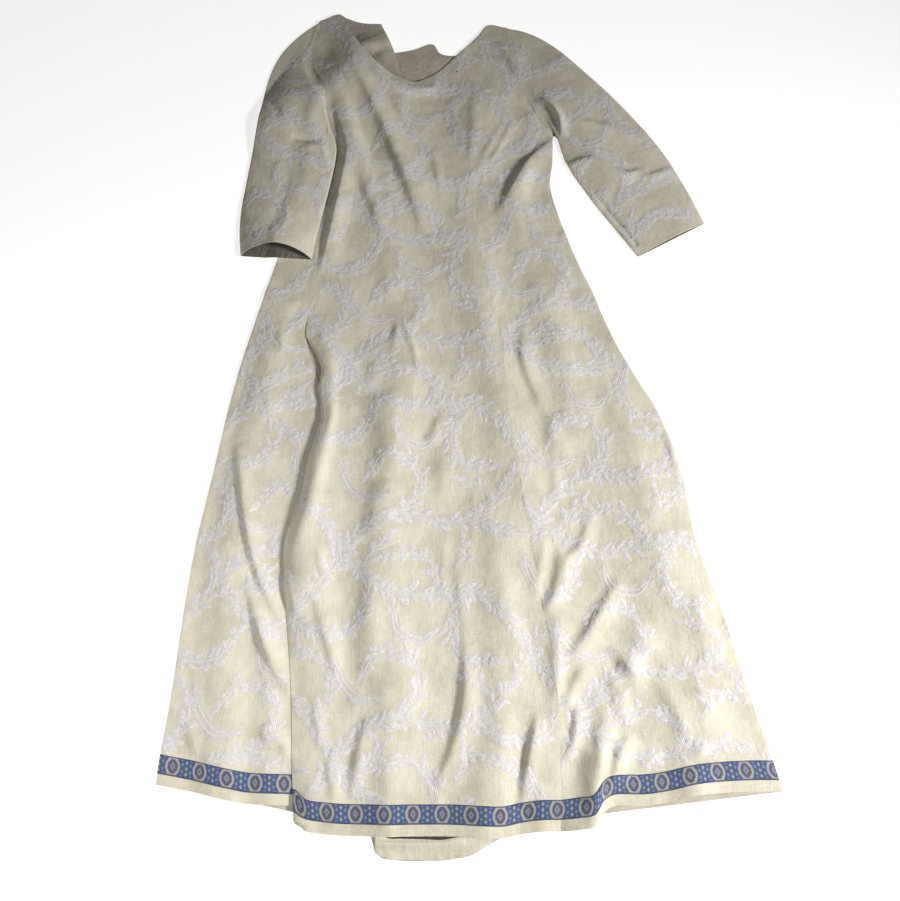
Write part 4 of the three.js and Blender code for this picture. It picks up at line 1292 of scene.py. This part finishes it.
def satin(name, main, deep):
    """Silky embroidery thread, lying in fine uneven ridges."""
    shader = Shader(name, 0.62, 0.25)
    place = shader.node("TexCoord").outputs["Object"]
    crush = shader.noise(place, 210, 3.0, 0.6)
    base = shader.laid(deep, (crush.band(0.35, 0.65), main))
    return shader.finish(base, crush + shader.noise(place, 820, 2.0, 0.6) * 0.4, 0.0006)


RIBBON_REPEAT, RIBBON_SPAN = 42.0, 27.0     # of the woven pattern, along and across
RIBBON_THREAD = 0.9                         # the pattern is stepped by its threads
RING = 11.0                                 # half the width of the beige ring of a medallion
HEART_WIDE, HEART_HIGH = 7.6, 10.0          # half sizes of the dark field inside it, and of the diamond
HEART_CUT = 1.36                            # that cuts its corners off, as a share of them
DROP_WIDE, DROP_HIGH = 4.2, 6.4             # and of the pale diamond inside that
COLUMN_SPACING = 8.0                        # of the three small diamonds between two medallions
EDGE_LINE = 1.7                             # width of the dark line along each edge
SOFT = 0.7                                  # how far the pattern's edges run into each other


def ribbon():
    """Woven trim: medallions of beige on blue with a dark heart, and three small diamonds between them."""
    shader = Shader("ribbon_woven", 0.75, 0.15)
    uv = shader.node("UVMap", uv_map="cloth").outputs[0]
    along_it, across = shader.parts(uv)
    cell = ((along_it * METRE).math("SNAP", RIBBON_THREAD) / RIBBON_REPEAT).math("FRACT")
    x = abs((cell - 0.5) * RIBBON_REPEAT)
    y = abs(((across - 0.5) * RIBBON_SPAN).math("SNAP", RIBBON_THREAD))
    between = x * -1.0 + RIBBON_REPEAT / 2

    def diamond(u, v, half_u, half_v, middle=(0, 0)):
        """1 inside a diamond, 0 outside it, soft across about a thread."""
        soft = 0.6 / half_u
        return (abs(u - middle[0]) / half_u + abs(v - middle[1]) / half_v).band(1 + soft, 1 - soft)

    mottle = shader.noise(uv, 190).band(0.35, 0.65)
    edge = y.band(RIBBON_SPAN / 2 - EDGE_LINE - 0.6, RIBBON_SPAN / 2 - EDGE_LINE + 0.2)
    ring = x.math("MAXIMUM", y.math("MULTIPLY_ADD", 0.5, x) - 1.6).band(RING + SOFT, RING - SOFT)
    heart = (diamond(x, y, HEART_WIDE * HEART_CUT, HEART_HIGH * HEART_CUT)
             * x.band(HEART_WIDE + SOFT, HEART_WIDE - SOFT) * y.band(HEART_HIGH + SOFT, HEART_HIGH - SOFT))
    weave = woven(shader, shader.scaled(uv, 1.0, RIBBON_SPAN * MM), RIBBON_THREAD)
    base = shader.laid(
        BLUE, (mottle, BLUE_DEEP),
        (diamond(x, y, 2.2, 2.8, (14.8, 4.8)), BLUE_PALE),
        (diamond(x, y, 1.7, 2.0, (13.8, 11.0)), BLUE_PALE),
        (between.band(1.3, 0.6), TEAL_GREY),
        *((diamond(between, y, 2.3, 2.8, (0, middle)), BEIGE_GREY) for middle in (0, COLUMN_SPACING)),
        (edge, BLUE_DEEP),
        (ring, shader.laid(BEIGE_DEEP, (shader.noise(uv, 260).band(0.3, 0.62), BEIGE))),
        (edge * x.band(RING + 1, RING - 1), EDGE_GREY),
        (heart, shader.laid(NIGHT, (mottle, NIGHT_PALE))),
        (diamond(x, y, DROP_WIDE, DROP_HIGH) * mottle.math("MULTIPLY_ADD", 0.5, 0.4), SILVER),
        (diamond(x, y, 1.3, 1.6), NIGHT),
        (weave * 0.25, BLUE_DEEP))
    return shader.finish(base, weave, 0.0003)


MATERIALS = {
    "linen": linen("linen", CREAM, CREAM_DEEP, CREAM_PALE, stained=True),
    "linen_inside": linen("linen_inside", INSIDE, INSIDE_DEEP, INSIDE_PALE, tint=0.4),
    # Painted shade: a sleeve's inside is this dark linen, for the shade in the tube.
    "sleeve_inside_painted_shade": linen("sleeve_inside_painted_shade", PAINTED_SHADE_LINEN, PAINTED_SHADE_LINEN_DEEP, INSIDE_DEEP, tint=0.0),
    # Painted shade: dark linen for the shade in the gap under the front hem.
    "painted_gap_shade": linen("painted_gap_shade", PAINTED_GAP_SHADE, PAINTED_GAP_SHADE_DEEP, PAINTED_SHADE_LINEN_DEEP, tint=0.0),
    "embroidery": satin("embroidery_thread", LILAC, LILAC_DEEP),
    "ribbon": ribbon(),
    "thread": satin("sewing_thread", CREAM_PALE, CREAM),
    "ribbon_thread": satin("ribbon_thread", BLUE, BLUE_DEEP),
}


def dress_in(piece, *names):
    for name in names:
        piece.data.materials.append(MATERIALS[name])


# ---- each piece's cut, materials and body ----

# Cuts of the cloth pieces: width, length and, where it is no rectangle, area, in metres, without allowances.
CUTS = {
    "front_centre": (0.41, 1.46, 0.46),
    "front_side_left": (0.24, 1.20, 0.165),
    "front_side_right": (0.35, 1.22, 0.26),
    "back_left": (0.47, 1.48, 0.44),
    "back_right": (0.49, 1.45, 0.44),
    "sleeve_left": (0.52, 0.46, 0.12),
    "sleeve_right": (0.52, 0.46, 0.14),
    "hem_turnup_back": (0.18, 0.04, None),
    "placket_back": (0.05, 0.16, None),
    "hem_ribbon_left": (0.225, 0.027, None),
    "hem_ribbon_centre": (0.395, 0.027, None),
    "hem_ribbon_right": (0.335, 0.027, None),
    "hem_ribbon_back": (0.93, 0.027, None),
}
INSIDE_OUT = ("back_left", "back_right", "placket_back")
PAINTED_GAP_SHADE_LOW = -6.0    # the hem stands open above this height: from there on the turn-up is painted dark, as painted shade for the gap

for node, piece in cloth.items():
    is_ribbon = node.startswith("hem_ribbon")
    if is_ribbon:
        dress_in(piece, "ribbon", "ribbon")
    elif node in INSIDE_OUT:
        dress_in(piece, "linen_inside", "linen")
    else:
        # A sleeve's inside faces take the dark painted-shade linen.
        dress_in(piece, "linen", "sleeve_inside_painted_shade" if node in SLEEVES else "linen_inside")
    # Painted shade: the turn-up's faces above that height take the dark material, for the shade in the gap
    # under the front hem.
    if node == "hem_turnup_back":
        dress_in(piece, "painted_gap_shade")
        rows, columns, _ = layers[node]["top"].shape
        first = int(np.argmax(layers[node]["top"][:, columns // 2, 1] > PAINTED_GAP_SHADE_LOW))
        for face in list(piece.data.polygons)[first * (columns - 1):(rows - 1) * (columns - 1)]:
            face.material_index = 2
    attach(piece, "root")
    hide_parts(node)
for piece in threads.values():
    dress_in(piece, "embroidery")
for name, piece in stitches.items():
    dress_in(piece, "ribbon_thread" if name == "ribbon_stitches" else "thread")
for piece in (*threads.values(), *stitches.values()):
    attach(piece, "root")

RESTS_ON = {"front_centre": ["back_left", "back_right"], "front_side_left": ["back_left"],
            "front_side_right": ["back_right"], "sleeve_left": ["front_side_left"],
            "hem_turnup_back": ["back_left"], "placket_back": ["back_left"]}
for node, (width, length, area) in CUTS.items():
    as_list(RESTS_ON.get(node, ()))


# ---- floor, light and camera ----

# Lamps: where each stands and what it points at, in metres, then its size, power, and spread in degrees.
LAMPS = {
    "key": ((2.2, -0.6, 1.2), (-0.4, -0.5, 0), 0.45, 24.8, 90),
    "fill": ((-0.9, -0.6, 0.8), (-0.2, -0.6, 0), 0.5, 4.9, 170),
}
SKY_COLOUR, SKY_LIGHT = colour(236, 230, 222), 0.05
FLOOR_HALF, FLOOR_HEIGHT = 4.0, -0.0004
FLOOR_COLOUR, FLOOR_GLOW = colour(200, 200, 200), 0.72
CAMERA_AT, CAMERA_TILT = (-0.0268, -0.4588, 1.24), 15     # in metres, and in degrees off straight down
CAMERA_LENS, CAMERA_SENSOR = 31.36, 36


def floor():
    mesh = bpy.data.meshes.new("floor")
    corners = [(FLOOR_HALF * x, FLOOR_HALF * y, FLOOR_HEIGHT)
               for x, y in ((-1, -1), (1, -1), (1, 1), (-1, 1))]
    mesh.from_pydata(corners, [], [(0, 1, 2, 3)])
    shader = Shader("floor", 0.9, 0.0)
    shader.put(shader.surface.inputs["Base Color"], FLOOR_COLOUR)
    shader.put(shader.surface.inputs["Emission Color"], colour(255, 255, 255))
    shader.put(shader.surface.inputs["Emission Strength"], FLOOR_GLOW)
    mesh.materials.append(shader.material)
    placed("floor", mesh)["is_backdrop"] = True


def lamp(name, place, target, size, watts, spread):
    light = bpy.data.lights.new(name, "AREA")
    light.shape, light.size, light.energy, light.spread = "DISK", size, watts, math.radians(spread)
    piece = placed(name, light)
    piece.visible_camera = False
    piece.location = place
    piece.rotation_euler = (Vector(target) - Vector(place)).to_track_quat("-Z", "Y").to_euler()


def camera():
    data = bpy.data.cameras.new("camera")
    data.lens, data.sensor_width = CAMERA_LENS, CAMERA_SENSOR
    piece = placed("camera", data)
    piece.location = CAMERA_AT
    piece.rotation_euler = (math.radians(CAMERA_TILT), 0, 0)
    bpy.context.scene.camera = piece


floor()
for name, row in LAMPS.items():
    lamp(name, *row)
world = bpy.data.worlds.new("studio")
world.use_nodes = True
world.node_tree.nodes["Background"].inputs["Color"].default_value = SKY_COLOUR
world.node_tree.nodes["Background"].inputs["Strength"].default_value = SKY_LIGHT
bpy.context.scene.world = world
bpy.context.scene.view_settings.view_transform = "Standard"
camera()

as_lists = lambda box: [list(corner) for corner in box]
{"cad": as_lists(CAD_BOX), "visual": as_lists(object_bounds())}
